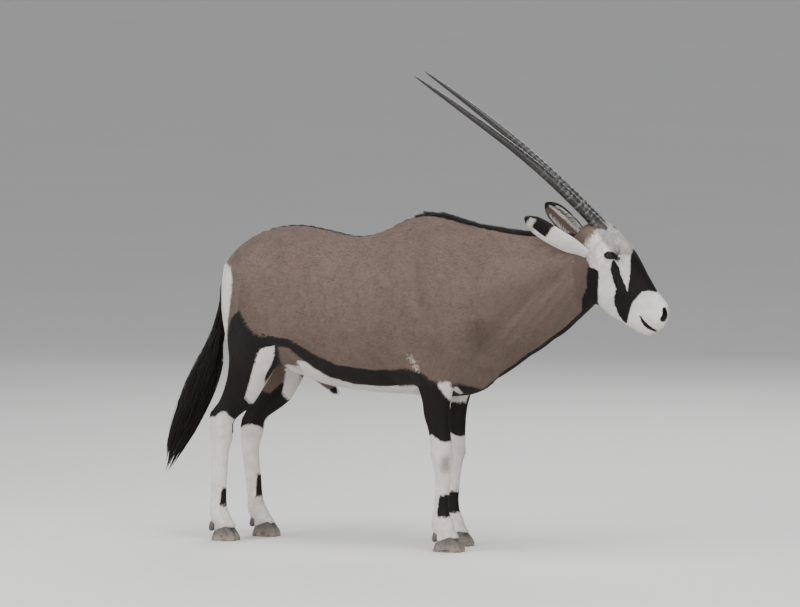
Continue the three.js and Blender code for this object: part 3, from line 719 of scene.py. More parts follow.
def sculpt_body(points, normals):
    """Muscles and bony points of the side faces, then ribs, spine, keel of the breast and loose throat."""
    x, y, z = level_x(points), points[:, 1], points[:, 2]
    behind_head = 1 - eased(x, 880, 920)
    side_way = eased(np.abs(normals[:, 1]), 0.15, 0.6) * behind_head
    push = form_heights(np.stack([x, z], -1), BODY_FORMS, side_way)
    ribs = eased(x, -150, -60) * (1 - eased(x, 200, 280)) * eased(z, 620, 720) * (1 - eased(z, 930, 1010))
    push += 0.5 * ribs * np.sin((x + 0.35 * (z - 780)) / 46 * 2 * np.pi) * side_way
    spine = np.exp(-((y / 16) ** 2)) * eased(z, 1000, 1060) * (x < 700) * (x > -440)
    push += spine * (2.0 + 1.2 * np.sin(x / 38 * 2 * np.pi))
    keel = np.exp(-((y / 26) ** 2)) * eased(-normals[:, 2], 0.3, 0.8) * eased(x, 260, 380) * (x < 600)
    push += 7 * keel
    loose = eased(x, 600, 700) * (1 - eased(x, 850, 900)) * eased(-normals[:, 2], -0.5, 0.3)
    push += 1.6 * loose * np.sin((x * 0.8 - z * 0.6) / 30 * 2 * np.pi)
    return points + normals * push[:, None]


# Lines of the nostril and of the mouth on the side of the face.
NOSTRIL_PATH = [(349, -32), (343, -22), (334, -15), (322, -10)]
MOUTH_PATH = [(298, -94), (322, -92), (346, -86), (366, -79), (380, -76)]

# Forms of the face: a line through (a, b), reach and height.
FACE_FORMS = [
    ([(52, -34)], 20, 4.5),
    ([(112, -66)], 17, -3),
    ([(104, -92), (150, -96), (196, -104)], 9, 3.2),
    ([(165, -152)], 42, 4),
    ([(222, -118), (232, -172)], 14, -3.5),
    ([(150, -30), (250, -34)], 20, -3),
    ([(340, -34)], 24, 4),
    ([(316, -60), (350, -60)], 15, 3),
    ([(330, -116)], 18, 2.5),
    ([(110, -112), (172, -84), (246, -66)], 3.2, 1.5),
    ([(170, -86), (216, -104), (262, -100)], 2.8, 1.3),
    ([(20, -120), (60, -150), (110, -178)], 16, -3),
    ([(294, -84), (302, -78)], 6, 2),
    ([(10, -70)], 26, 3),
]


# Where a nostril begins, off the middle of the face.
NOSTRIL_INNER = 12


def near_nostril(points, reach):
    """Whether points lie within reach of a nostril's line."""
    a, b, c = head_numbers(points)
    distance, _ = path_distance(np.stack([a, b], -1), NOSTRIL_PATH)
    return (distance < reach) & (np.abs(c) > NOSTRIL_INNER) & (points[:, 0] > 900)


def sculpt_head(points, normals):
    """Face forms, then the lips' line, the nostrils and the lids wrapped round each eyeball."""
    a, b, c = head_numbers(points)
    here = (points[:, 0] > 880) & (a > -90)
    flat = np.stack([a, b], -1)
    sideways = normals @ HEAD_LEFT
    side_way = eased(np.abs(sideways), 0.12, 0.55) * here
    push = form_heights(flat, FACE_FORMS, side_way)
    mouth, along = path_distance(flat, MOUTH_PATH)
    width = 1.8 + 2.6 * eased(along, 0.55, 0.95)
    push -= here * (3.2 + 3.2 * eased(along, 0.4, 0.9)) * np.exp(-((mouth / width) ** 2))
    push += here * 1.5 * np.exp(-(((mouth - 2.4 * width) / (1.4 * width)) ** 2)) * (a > 300)
    philtrum = np.exp(-((c / 2.2) ** 2)) * eased(a, 362, 374) * eased(b, -78, -70)
    push -= here * 2.6 * philtrum
    points = points + normals * push[:, None]

    nostril, along = path_distance(flat, NOSTRIL_PATH)
    radius = 2.6 + 4.4 * np.sin(np.pi * np.clip(along * 0.8 + 0.16, 0, 1)) ** 2
    side = np.sign(c)
    open_way = here & (np.abs(c) > NOSTRIL_INNER)
    hollow = 1 - eased(nostril, radius - 2.6, radius + 0.8)
    rim = np.exp(-(((nostril - radius - 2.6) / 2.6) ** 2))
    into = -(unit(HEAD_LEFT[None, :] * side[:, None] + 0.35 * FACE - 0.15 * BROW))
    deep, proud = (open_way * hollow * 15)[:, None], (open_way * rim * 1.7)[:, None]
    points = points + deep * into + proud * normals

    for side in (1, -1):
        points = wrap_lids(points, side)
    return points


def lid_numbers(points, side):
    """How far points lie from an eye's middle, 1 on the lids' edge, with u along, v up and how far out."""
    middle, out, long_axis, up_axis = eye_frame(side)
    way = unit(points - middle)
    u, v = way @ long_axis * EYE["radius"], way @ up_axis * EYE["radius"]
    high = 9.2 * (1 - 0.2 * np.clip(u / 18, -1, 1))
    low = 7.6 * (1 + 0.15 * np.clip(u / 18, -1, 1))
    span = np.where(v > 0, high, low)
    opening = np.sqrt((np.abs(u) / 16.4) ** 2 + (np.abs(v - 0.12 * u) / span) ** 2)
    return opening, u, v, way @ out


def wrap_lids(points, side):
    """Lids: the skin sinks behind the eyeball in the opening; round it lie a rolled edge and a fold."""
    middle = eye_frame(side)[0]
    radius = EYE["radius"]
    off = points - middle
    distance = np.linalg.norm(off, axis=1)
    opening, _, v, facing = lid_numbers(points, side)
    rolled = radius + 2.2 + 1.5 * np.exp(-(((opening - 1.2) / 0.14) ** 2)) * (1 + 0.5 * (v > 0))
    fold = -1.6 * np.exp(-(((opening - 1.62) / 0.13) ** 2)) + 1.1 * np.exp(-(((opening - 1.95) / 0.18) ** 2))
    sunken = radius + 2.2 - 9 * (1 - eased(opening, 0.86, 1.05))
    wanted = np.where(opening < 1.05, sunken, rolled + fold)
    share = (1 - eased(opening, 1.7, 2.9)) * (facing > 0.05) * (distance < 56)
    return middle + off * (1 + share * (wanted / np.maximum(distance, 1) - 1))[:, None]


# Markings: how far inside a patch each point lies, in millimetres

# Depths are cut off at this distance on either side of a patch's edge.
LIMIT = 60

# Outlines on the side of the body, as (x, z).
FLANK_STRIPE = [
    (-262, 768), (-224, 750), (-126, 739), (-30, 690), (66, 653), (204, 642), (328, 650), (380, 638),
    (424, 606), (404, 560), (372, 566), (328, 588), (204, 579), (94, 582), (-2, 606), (-73, 655),
    (-140, 706), (-190, 715),
]
BELLY = [
    (-118, 612), (-112, 660), (-73, 659), (-2, 611), (94, 589), (204, 587), (328, 595), (380, 570),
    (390, 500), (330, 440), (-100, 440), (-110, 560),
]
THIGH = [
    (-327, 840), (-300, 792), (-273, 758), (-240, 742), (-205, 736), (-180, 712), (-240, 560), (-304, 470),
    (-352, 396), (-376, 400), (-390, 420), (-400, 446), (-412, 462), (-426, 468), (-442, 462), (-458, 448),
    (-520, 440), (-520, 590), (-425, 600), (-418, 650), (-398, 740), (-366, 806),
]
INNER_THIGH = [
    (-252, 566), (-286, 568), (-338, 556), (-382, 520), (-430, 530), (-520, 550), (-520, 372), (-490, 388),
    (-468, 400), (-440, 404), (-416, 396), (-398, 376), (-360, 366), (-316, 440), (-272, 510),
]
THIGH_STREAK = [
    (-254, 704), (-196, 714), (-212, 676), (-233, 643), (-262, 600), (-280, 560), (-308, 498), (-330, 498),
    (-341, 522), (-320, 570), (-300, 616), (-276, 664),
]
BUTTOCK = [
    (-540, 985), (-440, 996), (-400, 984), (-378, 950), (-370, 900), (-380, 830), (-402, 740), (-418, 670),
    (-424, 620), (-540, 600),
]
ARM_PATCH = [
    (346, 604), (420, 612), (500, 594), (540, 575), (520, 470), (500, 410), (474, 402), (456, 392),
    (440, 396), (420, 408), (402, 420), (384, 412), (350, 416), (330, 470), (336, 560),
]
ARM_TRIANGLE = [(430, 606), (474, 606), (474, 560), (474, 540), (468, 534)]
ELBOW_PATCH = [(326, 706), (354, 702), (374, 660), (378, 636), (352, 640)]

# Outlines on the side of the face, as (a, b).
CHEEK_STRIPE = [
    (82, -70), (80, -60), (100, -58), (118, -60), (137, -68), (172, -75), (202, -82), (206, -62),
    (232, -54), (246, -92), (256, -106), (277, -130), (296, -149), (288, -156), (273, -157), (240, -155),
    (210, -145), (191, -132), (173, -111), (140, -102), (103, -88),
]
BLAZE = [
    (86, 50), (88, 12), (104, -6), (129, -23), (169, -53), (202, -82), (224, -100), (240, -84),
    (232, -56), (230, -40), (240, -20), (262, 0), (277, 14), (280, 50),
]
CHEEK_BAR = [
    (52, -152), (70, -136), (85, -128), (104, -138), (125, -155), (158, -180), (185, -200), (200, -215),
    (196, -240), (178, -262), (140, -236), (112, -196), (80, -174),
]
HORN_PATCH = [(-34, 40), (-30, -14), (-8, -14), (14, -2), (34, 14), (36, 40)]
WHITE_FACE = [
    (-44, 70), (-40, -20), (-34, -70), (-16, -118), (20, -138), (52, -144), (92, -168), (130, -206),
    (170, -240), (240, -290), (440, -220), (440, 70),
]

# Black line along the back: x, half width.
BACK_LINE = np.array([
    [-480, 74],
    [-430, 50],
    [-380, 28],
    [-320, 14],
    [300, 13],
])


def any_of(*depths):
    """Depth in the patches joined."""
    return np.maximum.reduce(depths)


def all_of(*depths):
    """Depth where the patches overlap."""
    return np.minimum.reduce(depths)


def only(where, depth):
    """The depth where the test holds, and far outside elsewhere."""
    return np.where(where, depth, -LIMIT)


def cannon_depth(points, level, rows, right, left, wide):
    """Depth in the black down the front of a cannon bone, between two heights on each side's leg."""
    _, y, z = points.T
    low, high = (np.where(y < 0, near, far) for near, far in zip(right, left))
    half = (high - low) / 2
    from_front = np.interp(z, rows[:, 0], rows[:, 2]) - level
    return np.minimum(wide - from_front - 0.12 * (z - low), 0.35 * (half - np.abs(z - low - half)))


def thigh_depth(points, chart, out_way, hind):
    """Depth in the black of the thighs: one outline on the outer side of the leg, one on the inner side."""
    _, y, z = points.T
    outward = eased(out_way, -0.25, 0.25) * (np.abs(y) < 210)
    outer, inner = inside_distance(chart, THIGH), inside_distance(chart, INNER_THIGH)
    outer = only(hind | (z < 860), np.minimum(outer, np.where(hind, LIMIT * (outward - 0.45), LIMIT)))
    return np.maximum(outer, only(hind, np.minimum(inner, LIMIT * (0.55 - outward))))


def dark_openings(points, of_head):
    """Depths in the bare black skin of the lids, the eyes' inner corners, the nostrils and the lips."""
    a, b, c = head_numbers(points)
    face_chart = np.stack([a, b], -1)
    depths = []
    for side in (1, -1):
        opening, u, v, facing = lid_numbers(points, side)
        near = (np.linalg.norm(points - eye_frame(side)[0], axis=1) < 40) & (facing > 0)
        depths += [only(near, 7 * (1.6 - opening)), only(near, 8 - np.hypot(u - 17, v + 3))]
    nostril, _ = path_distance(face_chart, NOSTRIL_PATH)
    depths.append(only(of_head & (np.abs(c) > NOSTRIL_INNER), 10.5 - nostril - 0.12 * (352 - a)))
    mouth, along = path_distance(face_chart, MOUTH_PATH)
    below = b < np.interp(a, [298, 346, 380], [-94, -86, -76])
    depths.append(only(of_head & (b < -40), 2.2 + 9 * np.sin(np.pi * along) * below - mouth))
    return depths


def markings(points, normals):
    """Depth of each point in the black and in the white, how dusky its fawn is, and how bare the skin is."""
    x, y, z = points.T
    chart = np.stack([level_x(points), z], -1)
    out_way = normals[:, 1] * np.sign(y)
    a, b, c = head_numbers(points)
    face_chart = np.stack([a, b], -1)
    of_head = (x > 880) & (a > -80) & (b > -290)
    fore = (z < 640) & (x > 150)
    hind = (z < 640) & (x < 0)
    off_middle = np.abs(y - np.interp(x, NECK[:, 0], NECK[:, 1]))

    flank = inside_distance(chart, FLANK_STRIPE)
    under_cut = np.where(np.abs(y) < 60, -8, -LIMIT)
    flank = np.where((np.abs(y) > 60) & (out_way > -0.3), flank, np.minimum(flank, under_cut))
    thigh = thigh_depth(points, chart, out_way, hind)
    streak = inside_distance(chart, THIGH_STREAK)
    triangle = np.minimum(inside_distance(chart, ARM_TRIANGLE), 40 * (normals[:, 0] + 0.55))
    arm_inner = all_of(z - 516, 550 - z, 30 * (-0.2 - out_way)) * 0.6
    arm = only(fore, np.minimum(inside_distance(chart, ARM_PATCH), -np.maximum(triangle, arm_inner)))
    throat = all_of(27 - off_middle, LIMIT * (-normals[:, 2] + 0.1), x - 372, 935 - x)
    back_half = np.interp(x, BACK_LINE[:, 0], BACK_LINE[:, 1])
    back = np.minimum(back_half - np.abs(y), LIMIT * normals[:, 2] + 10)
    back = only((x < 420) & (z > 860), back)
    tail_root = only((x < -470) & (z > 640), -470 - x)
    buttock = inside_distance(chart, BUTTOCK)
    buttock = np.minimum(buttock, np.where(z > 640, LIMIT, LIMIT * (out_way + 0.1)))
    fore_cannon = cannon_depth(points, chart[:, 0], FORE, (124, 204), (120, 196), 34)
    hind_cannon = cannon_depth(points, chart[:, 0], HIND, (126, 190), (142, 222), 15)
    cannons = np.maximum(only(fore & (z < 300), fore_cannon), only(hind & (z < 300), hind_cannon))
    nape = np.minimum(11 - off_middle, LIMIT * normals[:, 2])
    nape = only((x > 280) & (a < -20), nape)

    behind = any_of(flank, thigh, arm, throat, back, tail_root, nape, cannons)
    behind = np.where(streak > 0, np.minimum(behind, -streak), behind)
    behind = np.where(buttock > 0, np.minimum(behind, -buttock), behind)
    behind = any_of(behind, back, tail_root)
    between_horns = np.minimum(inside_distance(face_chart, HORN_PATCH) - 8, 34 - np.abs(c))
    stripe, blaze = inside_distance(face_chart, CHEEK_STRIPE), inside_distance(face_chart, BLAZE)
    in_front = any_of(stripe, blaze, between_horns, only(b < -120, throat))
    black = np.where(of_head, in_front, behind)
    near_cheek = (x > 860) & (a > 20)
    black = np.where(near_cheek, np.maximum(black, inside_distance(face_chart, CHEEK_BAR)), black)
    black = any_of(black, *dark_openings(points, of_head))

    sheath = (x > -156) & (x < -40) & (np.abs(y) < 30) & (z < 612)
    belly = only(~sheath, inside_distance(chart, BELLY))
    legs_white = np.where(fore, 470 - z, only(hind, 520 - z))
    under = only(~sheath & (x > -200) & (x < 400) & (z < 640), 40 * (-normals[:, 2] - 0.75))
    inner_white = only(fore & (z > 470) & (z < 556), 40 * (-out_way - 0.1))
    elbow = inside_distance(chart, ELBOW_PATCH) * 0.25 - 3.4
    face = inside_distance(face_chart, WHITE_FACE)
    face = np.where(b > -140, face * 0.25, face)
    white = any_of(belly, legs_white, under, inner_white, streak, buttock, elbow, only(fore, triangle))
    white = np.where(of_head, face, np.minimum(white, LIMIT))

    # Tone of the fawn: duskier along the top of the back and paler low down; the neck is also made paler
    # toward the head, a painted highlight where sun lit it.
    tone = 0.5 + 0.25 * eased(z, 950, 1130) - 0.3 * (1 - eased(z, 600, 760)) - 0.25 * eased(x, 400, 700)
    brow = eased(b, -84, -40) * (1 - eased(a, 60, 130)) + 0.5 * eased(b, -30, 0) * (1 - eased(a, 110, 160))
    tone = np.where(of_head, 0.1 + 0.8 * np.clip(brow, 0, 1), tone)
    toward = normals[:, 0] * 0.7 + out_way * 0.7
    knee = (1 - eased(np.abs(z - 314), 14, 46)) * eased(toward, 0.6, 0.98) * fore
    return {
        "black": np.clip(black, -LIMIT, LIMIT),
        "white": np.clip(white, -LIMIT, LIMIT),
        "tone": tone,
        "bare": 0.6 * knee,
    }


def lie_of(points, normals):
    """The way hair lies: back along the trunk, back and down the neck, up the face, down the legs."""
    x, _, z = points.T
    a = head_numbers(points)[0]
    way = np.zeros_like(points)
    way[:] = (-1.0, 0.0, -0.3)
    neck = eased(x, 560, 700)[:, None]
    way = way * (1 - neck) + np.array([-0.85, -0.1, -0.35]) * neck
    head = (eased(x, 880, 930) * eased(a, -60, 0))[:, None]
    way = way * (1 - head) - FACE * head
    leg = (1 - eased(z, 560, 760))[:, None] * np.where((x > 260) | (x < -180), 1.0, 0.0)[:, None]
    way = way * (1 - leg) + np.array([-0.12, 0.0, -1.0]) * leg
    rear = (1 - eased(x, -470, -330))[:, None] * eased(z, 640, 760)[:, None]
    way = way * (1 - rear) + np.array([-0.2, 0.0, -1.0]) * rear
    way = way - normals * (way * normals).sum(1, keepdims=True)
    return unit(way)


# Finishes

class Finish:
    """A material and short ways to add nodes to it."""

    def __init__(self, name):
        self.material = bpy.data.materials.new(name)
        self.material.use_nodes = True
        self.tree = self.material.node_tree
        self.tree.nodes.clear()
        self.shader = self.tree.nodes.new("ShaderNodeBsdfPrincipled")
        output = self.tree.nodes.new("ShaderNodeOutputMaterial")
        self.tree.links.new(self.shader.outputs[0], output.inputs[0])
        self.spot = self.tree.nodes.new("ShaderNodeTexCoord").outputs["Object"]

    def plug(self, socket, value):
        """Links a node's output to the socket, or gives the socket a number or a colour."""
        if isinstance(value, bpy.types.NodeSocket):
            self.tree.links.new(value, socket)
        elif isinstance(value, tuple):
            socket.default_value = (*value, 1.0)
        elif value is not None:
            socket.default_value = value

    def reading(self, name):
        """The number stored under this name at each point."""
        node = self.tree.nodes.new("ShaderNodeAttribute")
        node.attribute_name = name
        return node.outputs["Fac"]

    def height(self):
        """Height above the floor, in metres."""
        node = self.tree.nodes.new("ShaderNodeSeparateXYZ")
        self.plug(node.inputs[0], self.spot)
        return node.outputs[2]

    def stretched(self, scale):
        """Places scaled along each axis, so that a noise read there is drawn out."""
        node = self.tree.nodes.new("ShaderNodeMapping")
        self.plug(node.inputs["Vector"], self.spot)
        node.inputs["Scale"].default_value = scale
        return node.outputs[0]

    def noise(self, scale, detail=2.0, roughness=0.55, source=None):
        """Soft random numbers, finer as the scale grows."""
        node = self.tree.nodes.new("ShaderNodeTexNoise")
        self.plug(node.inputs["Vector"], source or self.spot)
        node.inputs["Scale"].default_value = scale
        node.inputs["Detail"].default_value = detail
        node.inputs["Roughness"].default_value = roughness
        return node.outputs["Fac"]

    def sum(self, kind, first, second=0.5, third=0.5):
        """A sum of the named kind."""
        node = self.tree.nodes.new("ShaderNodeMath")
        node.operation = kind
        for socket, value in zip(node.inputs, (first, second, third)):
            self.plug(socket, value)
        return node.outputs[0]

    def between(self, value, low, high, start=0.0, end=1.0, kind="SMOOTHSTEP"):
        """The value's place between low and high, turned into a number from start to end."""
        node = self.tree.nodes.new("ShaderNodeMapRange")
        node.interpolation_type = kind
        for socket, number in zip(node.inputs, (value, low, high, start, end)):
            self.plug(socket, number)
        return node.outputs[0]

    def blend(self, share, first, second):
        """The first colour, with this share of the second."""
        node = self.tree.nodes.new("ShaderNodeMix")
        node.data_type = "RGBA"
        for socket, value in zip((node.inputs[0], node.inputs[6], node.inputs[7]), (share, first, second)):
            self.plug(socket, value)
        return node.outputs[2]

    def relief(self, height, distance, strength, after=None):
        """Normals bent by a height, on top of those of another relief."""
        node = self.tree.nodes.new("ShaderNodeBump")
        node.inputs["Strength"].default_value = strength
        node.inputs["Distance"].default_value = distance
        self.plug(node.inputs["Height"], height)
        self.plug(node.inputs["Normal"], after)
        return node.outputs[0]

    def set(self, **values):
        """Plugs values into the shader's inputs of these names and gives back the material."""
        for name, value in values.items():
            self.plug(self.shader.inputs[name.replace("_", " ")], value)
        return self.material


# Colours of the coat: its fawn from pale to dusky, the white, the black and the bare skin of the knees.
FAWN = (0.138, 0.098, 0.079)
DUSKY_FAWN = (0.076, 0.054, 0.044)
BROWN_FAWN = (0.102, 0.068, 0.052)
PALE_TIPS = (0.18, 0.138, 0.115)
DEEP_FAWN = (0.042, 0.03, 0.024)
WHITE = (0.76, 0.735, 0.70)
CREAM = (0.64, 0.60, 0.55)
SHADED_WHITE = (0.47, 0.43, 0.39)
GRIZZLED = (0.2, 0.19, 0.183)
DUSTY = (0.50, 0.41, 0.32)
BLACK = (0.0055, 0.0048, 0.0046)
WORN_BLACK = (0.019, 0.0155, 0.0135)
CALLUS = (0.16, 0.115, 0.085)


def coat_finish(name, relief_depth):
    """Fawn, white and black hair: the stored depths, wavered by noise, choose the colour of each hair."""
    f = Finish(name)
    waver = f.sum("MULTIPLY_ADD", f.noise(95, 3), 9.0, -4.5)
    waver = f.sum("MULTIPLY_ADD", f.noise(420, 2), 5.0, f.sum("SUBTRACT", waver, 2.5))
    black = f.between(f.sum("ADD", f.reading("black"), waver), -1.6, 1.6)
    white = f.between(f.sum("ADD", f.reading("white"), f.sum("MULTIPLY", waver, 1.5)), -3.5, 3.5)
    broad = f.noise(5.5, 4, 0.6)
    patchy = f.noise(26, 4, 0.62)
    hair = f.noise(1.0, 3, 0.6, source=f.stretched((260, 900, 700)))
    shade = f.reading("shade")

    dusk = f.sum("MULTIPLY_ADD", f.sum("SUBTRACT", patchy, 0.5), 0.9, f.reading("tone"))
    fawn = f.blend(f.between(dusk, 0.2, 0.95), FAWN, DUSKY_FAWN)
    fawn = f.blend(f.between(broad, 0.42, 0.7, 0, 0.7), fawn, BROWN_FAWN)
    tips = f.sum("MULTIPLY_ADD", shade, 0.6, f.sum("MULTIPLY", hair, 0.7))
    fawn = f.blend(f.between(tips, 0.42, 0.95, 0, 0.5), fawn, PALE_TIPS)
    fawn = f.blend(f.between(shade, 0.0, 0.26, 0.42, 0.0), fawn, DEEP_FAWN)

    pale = f.blend(f.between(patchy, 0.3, 0.75), WHITE, CREAM)
    pale = f.blend(f.between(shade, 0.0, 0.3, 0.4, 0.0), pale, SHADED_WHITE)
    mixed = f.between(f.sum("ADD", hair, patchy), 0.7, 1.3, 0.35, 0.95)
    grizzled = f.sum("MULTIPLY", f.between(f.reading("tone"), 0.4, 0.9), mixed)
    pale = f.blend(grizzled, pale, GRIZZLED)
    dusty = f.sum("MULTIPLY", f.between(f.height(), 0.34, 0.03), f.between(patchy, 0.35, 0.7))
    pale = f.blend(f.sum("MULTIPLY", dusty, 0.55), pale, DUSTY)

    worn = f.between(f.sum("ADD", hair, f.sum("MULTIPLY", shade, 0.3)), 0.5, 0.95)
    colour = f.blend(white, fawn, pale)
    colour = f.blend(black, colour, f.blend(worn, BLACK, WORN_BLACK))
    colour = f.blend(f.reading("bare"), colour, CALLUS)
    rough = f.between(black, 0.0, 1.0, 0.78, 0.5, "LINEAR")
    bump = f.relief(hair, relief_depth, 0.5)
    bump = f.relief(patchy, 0.002, 0.25, bump)
    return f.set(
        Base_Color=colour, Roughness=rough, Normal=bump,
        Specular_IOR_Level=0.16, Sheen_Weight=0.03, Sheen_Roughness=0.45,
    )


def hair_finish(name):
    """Long dark hair: nearly black, each strand a little browner or greyer, shiny along its length."""
    f = Finish(name)
    streak = f.noise(1.0, 2, 0.5, source=f.stretched((500, 500, 24)))
    shade = f.between(f.reading("shade"), 0.25, 1.0)
    colour = f.blend(shade, (0.0045, 0.004, 0.0039), (0.02, 0.0155, 0.0128))
    colour = f.blend(f.between(streak, 0.6, 0.9, 0, 0.4), colour, (0.04, 0.031, 0.026))
    rough = f.between(streak, 0.2, 0.8, 0.36, 0.52)
    bump = f.relief(streak, 0.0006, 0.4)
    return f.set(Base_Color=colour, Roughness=rough, Normal=bump, Specular_IOR_Level=0.3)


def horn_finish():
    """Dark horn, greyer where the rings are rubbed, with fibres along it and a smooth black tip."""
    f = Finish("horn_growth")
    ridge, along = f.reading("ridge"), f.reading("along")
    fibre = f.noise(1.0, 4, 0.65, source=f.stretched((330, 330, 60)))
    patch = f.noise(38, 4, 0.6)
    lower = f.between(along, 0.46, 0.1)
    rubbed = f.sum("MULTIPLY_ADD", ridge, 0.2, f.sum("MULTIPLY", patch, 1.3))
    worn = f.sum("MULTIPLY", f.between(rubbed, 0.72, 0.98), lower)
    colour = f.blend(f.between(fibre, 0.35, 0.75), (0.0075, 0.0066, 0.0064), (0.024, 0.0202, 0.0176))
    colour = f.blend(f.sum("MULTIPLY", worn, 0.8), colour, (0.145, 0.135, 0.125))
    colour = f.blend(f.between(along, 0.04, 0.0, 0, 0.6), colour, (0.062, 0.051, 0.044))
    deep = f.sum("MULTIPLY", f.between(ridge, 0.35, 0.0), f.between(along, 0.6, 0.2, 0, 0.6))
    colour = f.blend(deep, colour, (0.009, 0.0075, 0.0065))
    rough = f.between(f.sum("ADD", worn, f.sum("MULTIPLY", fibre, 0.3)), 0.0, 1.0, 0.3, 0.72, "LINEAR")
    bump = f.relief(fibre, 0.0012, 0.55)
    bump = f.relief(patch, 0.0018, 0.3, bump)
    return f.set(Base_Color=colour, Roughness=rough, Normal=bump)


def hoof_finish():
    """Slate-dark hoof: growth rings round it, fine fibres down it, scuffed and dusty at the ground."""
    f = Finish("hoof_growth")
    rings = f.noise(1.0, 3, 0.5, source=f.stretched((14, 14, 260)))
    fibre = f.noise(1.0, 3, 0.6, source=f.stretched((520, 520, 40)))
    patch = f.noise(60, 4, 0.6)
    colour = f.blend(f.between(fibre, 0.35, 0.75), (0.05, 0.044, 0.04), (0.115, 0.1, 0.088))
    colour = f.blend(f.between(rings, 0.5, 0.75, 0, 0.55), colour, (0.18, 0.158, 0.138))
    dusty = f.sum("MULTIPLY", f.between(f.height(), 0.045, 0.0), f.between(patch, 0.3, 0.6))
    colour = f.blend(f.sum("MULTIPLY", dusty, 0.8), colour, (0.30, 0.24, 0.19))
    rough = f.between(patch, 0.3, 0.7, 0.42, 0.66)
    bump = f.relief(rings, 0.0012, 0.5)
    bump = f.relief(fibre, 0.0008, 0.4, bump)
    return f.set(Base_Color=colour, Roughness=rough, Normal=bump)


def eye_finish():
    """A wet dark-brown eye: a level oval pupil, brown iris with fibres, brown-black rim."""
    f = Finish("wet_eye")
    pupil, rim = f.reading("pupil"), f.reading("rim")
    fibre = f.noise(700, 3, 0.6)
    colour = f.blend(f.between(fibre, 0.3, 0.7), (0.010, 0.005, 0.0028), (0.019, 0.0095, 0.005))
    colour = f.blend(f.between(pupil, 1.12, 0.92), colour, (0.0022, 0.0022, 0.003))
    colour = f.blend(f.between(rim, 0.82, 1.02), colour, (0.009, 0.006, 0.005))
    return f.set(
        Base_Color=colour, Roughness=0.3, Normal=f.relief(fibre, 0.0001, 0.2),
        Specular_IOR_Level=0.12, Coat_Weight=0.8, Coat_Roughness=0.02, Coat_IOR=1.3,
    )


def floor_finish():
    """A plain pale floor, dull and slightly grainy."""
    f = Finish("studio_floor")
    broad = f.noise(1.3, 3, 0.5)
    fine = f.noise(260, 2, 0.5)
    colour = f.blend(broad, (0.60, 0.585, 0.565), (0.63, 0.615, 0.595))
    rough = f.between(fine, 0.3, 0.7, 0.72, 0.84)
    return f.set(Base_Color=colour, Roughness=rough, Normal=f.relief(fine, 0.0004, 0.2))


# Coat

def face_triangles(mesh):
    """The three point numbers of each triangle."""
    mesh.calc_loop_triangles()
    corners = np.empty(len(mesh.loop_triangles) * 3, np.int32)
    mesh.loop_triangles.foreach_get("vertices", corners)
    return corners.reshape(-1, 3)


def scattered(points, normals, triangles, count, weight=None):
    """Places spread over a surface by area, and by weight if one is given, with the smooth normal there."""
    corner = points[triangles]
    area = np.linalg.norm(np.cross(corner[:, 1] - corner[:, 0], corner[:, 2] - corner[:, 0]), axis=1)
    share = area if weight is None else area * weight(corner.mean(1))
    start = np.concatenate([[0], np.cumsum(share)])
    reached = (np.arange(count) + rng.random(count)) / count * start[-1]
    pick = np.clip(np.searchsorted(start, reached, side="right") - 1, 0, len(triangles) - 1)
    u, v = rng.random(count), rng.random(count)
    folded = u + v > 1
    u[folded], v[folded] = 1 - u[folded], 1 - v[folded]
    w = np.stack([1 - u - v, u, v], -1)[..., None]
    return (corner[pick] * w).sum(1), unit((normals[triangles[pick]] * w).sum(1))


def patch_map(piece, places, corners, spread):
    """The map named OFBake: every hair is a small patch at its root's own place."""
    layer = piece.data.uv_layers.new(name="OFBake")
    own = np.empty(len(piece.data.loops), np.int32)
    piece.data.loops.foreach_get("vertex_index", own)
    at = places[own // corners] + spread[own % corners] * 0.003
    layer.data.foreach_set("uv", at.astype(np.float32).ravel())


def blades(name, roots, normals, lie, length, width, lift, places, marks, material):
    """Short hairs: each is a slim closed wedge that runs along its lie, its tip turned up by lift."""
    count = len(roots)
    turn = rng.normal(0, 0.2, count)
    across = np.cross(normals, lie)
    way = unit(lie * np.cos(turn)[:, None] + across * np.sin(turn)[:, None])
    across = np.cross(normals, way)
    half = (width / 2)[:, None]
    base = roots - normals * 0.9
    corners = np.stack([
        base + across * half, base - across * half, roots + normals * 0.7 + way * (length * 0.25)[:, None],
        roots + way * (length * np.cos(lift))[:, None] + normals * (length * np.sin(lift))[:, None],
    ], 1)
    points = corners.reshape(-1, 3)
    start = (np.arange(count) * 4)[:, None]
    faces = np.concatenate([start + np.array(f) for f in ((0, 2, 3), (2, 1, 3), (1, 0, 3), (0, 1, 2))])
    piece = new_piece(name, points, faces[:, ::-1] if wedge_inside_out(corners) else faces, material)
    patch_map(piece, places, 4, np.array([[0.5, 0], [-0.5, 0], [0, 0.4], [0, 1.0]]))
    number_attribute(piece, "shade", np.repeat(rng.random(count), 4))
    for key, values in marks.items():
        number_attribute(piece, key, np.repeat(values, 4))
    outward = 0.25 * np.repeat(across, 4, axis=0) * np.tile([1, -1, 0, 0], count)[:, None]
    smooth = unit(np.repeat(normals, 4, axis=0) + outward)
    piece.data.normals_split_custom_set_from_vertices(smooth.tolist())
    return piece


def wedge_inside_out(corners):
    """Whether the first wedge's faces, taken in the order given, point inward."""
    a, b, c, d = corners[0]
    return np.dot(np.cross(c - a, d - a), (a + b + c + d) / 4 - a) > 0


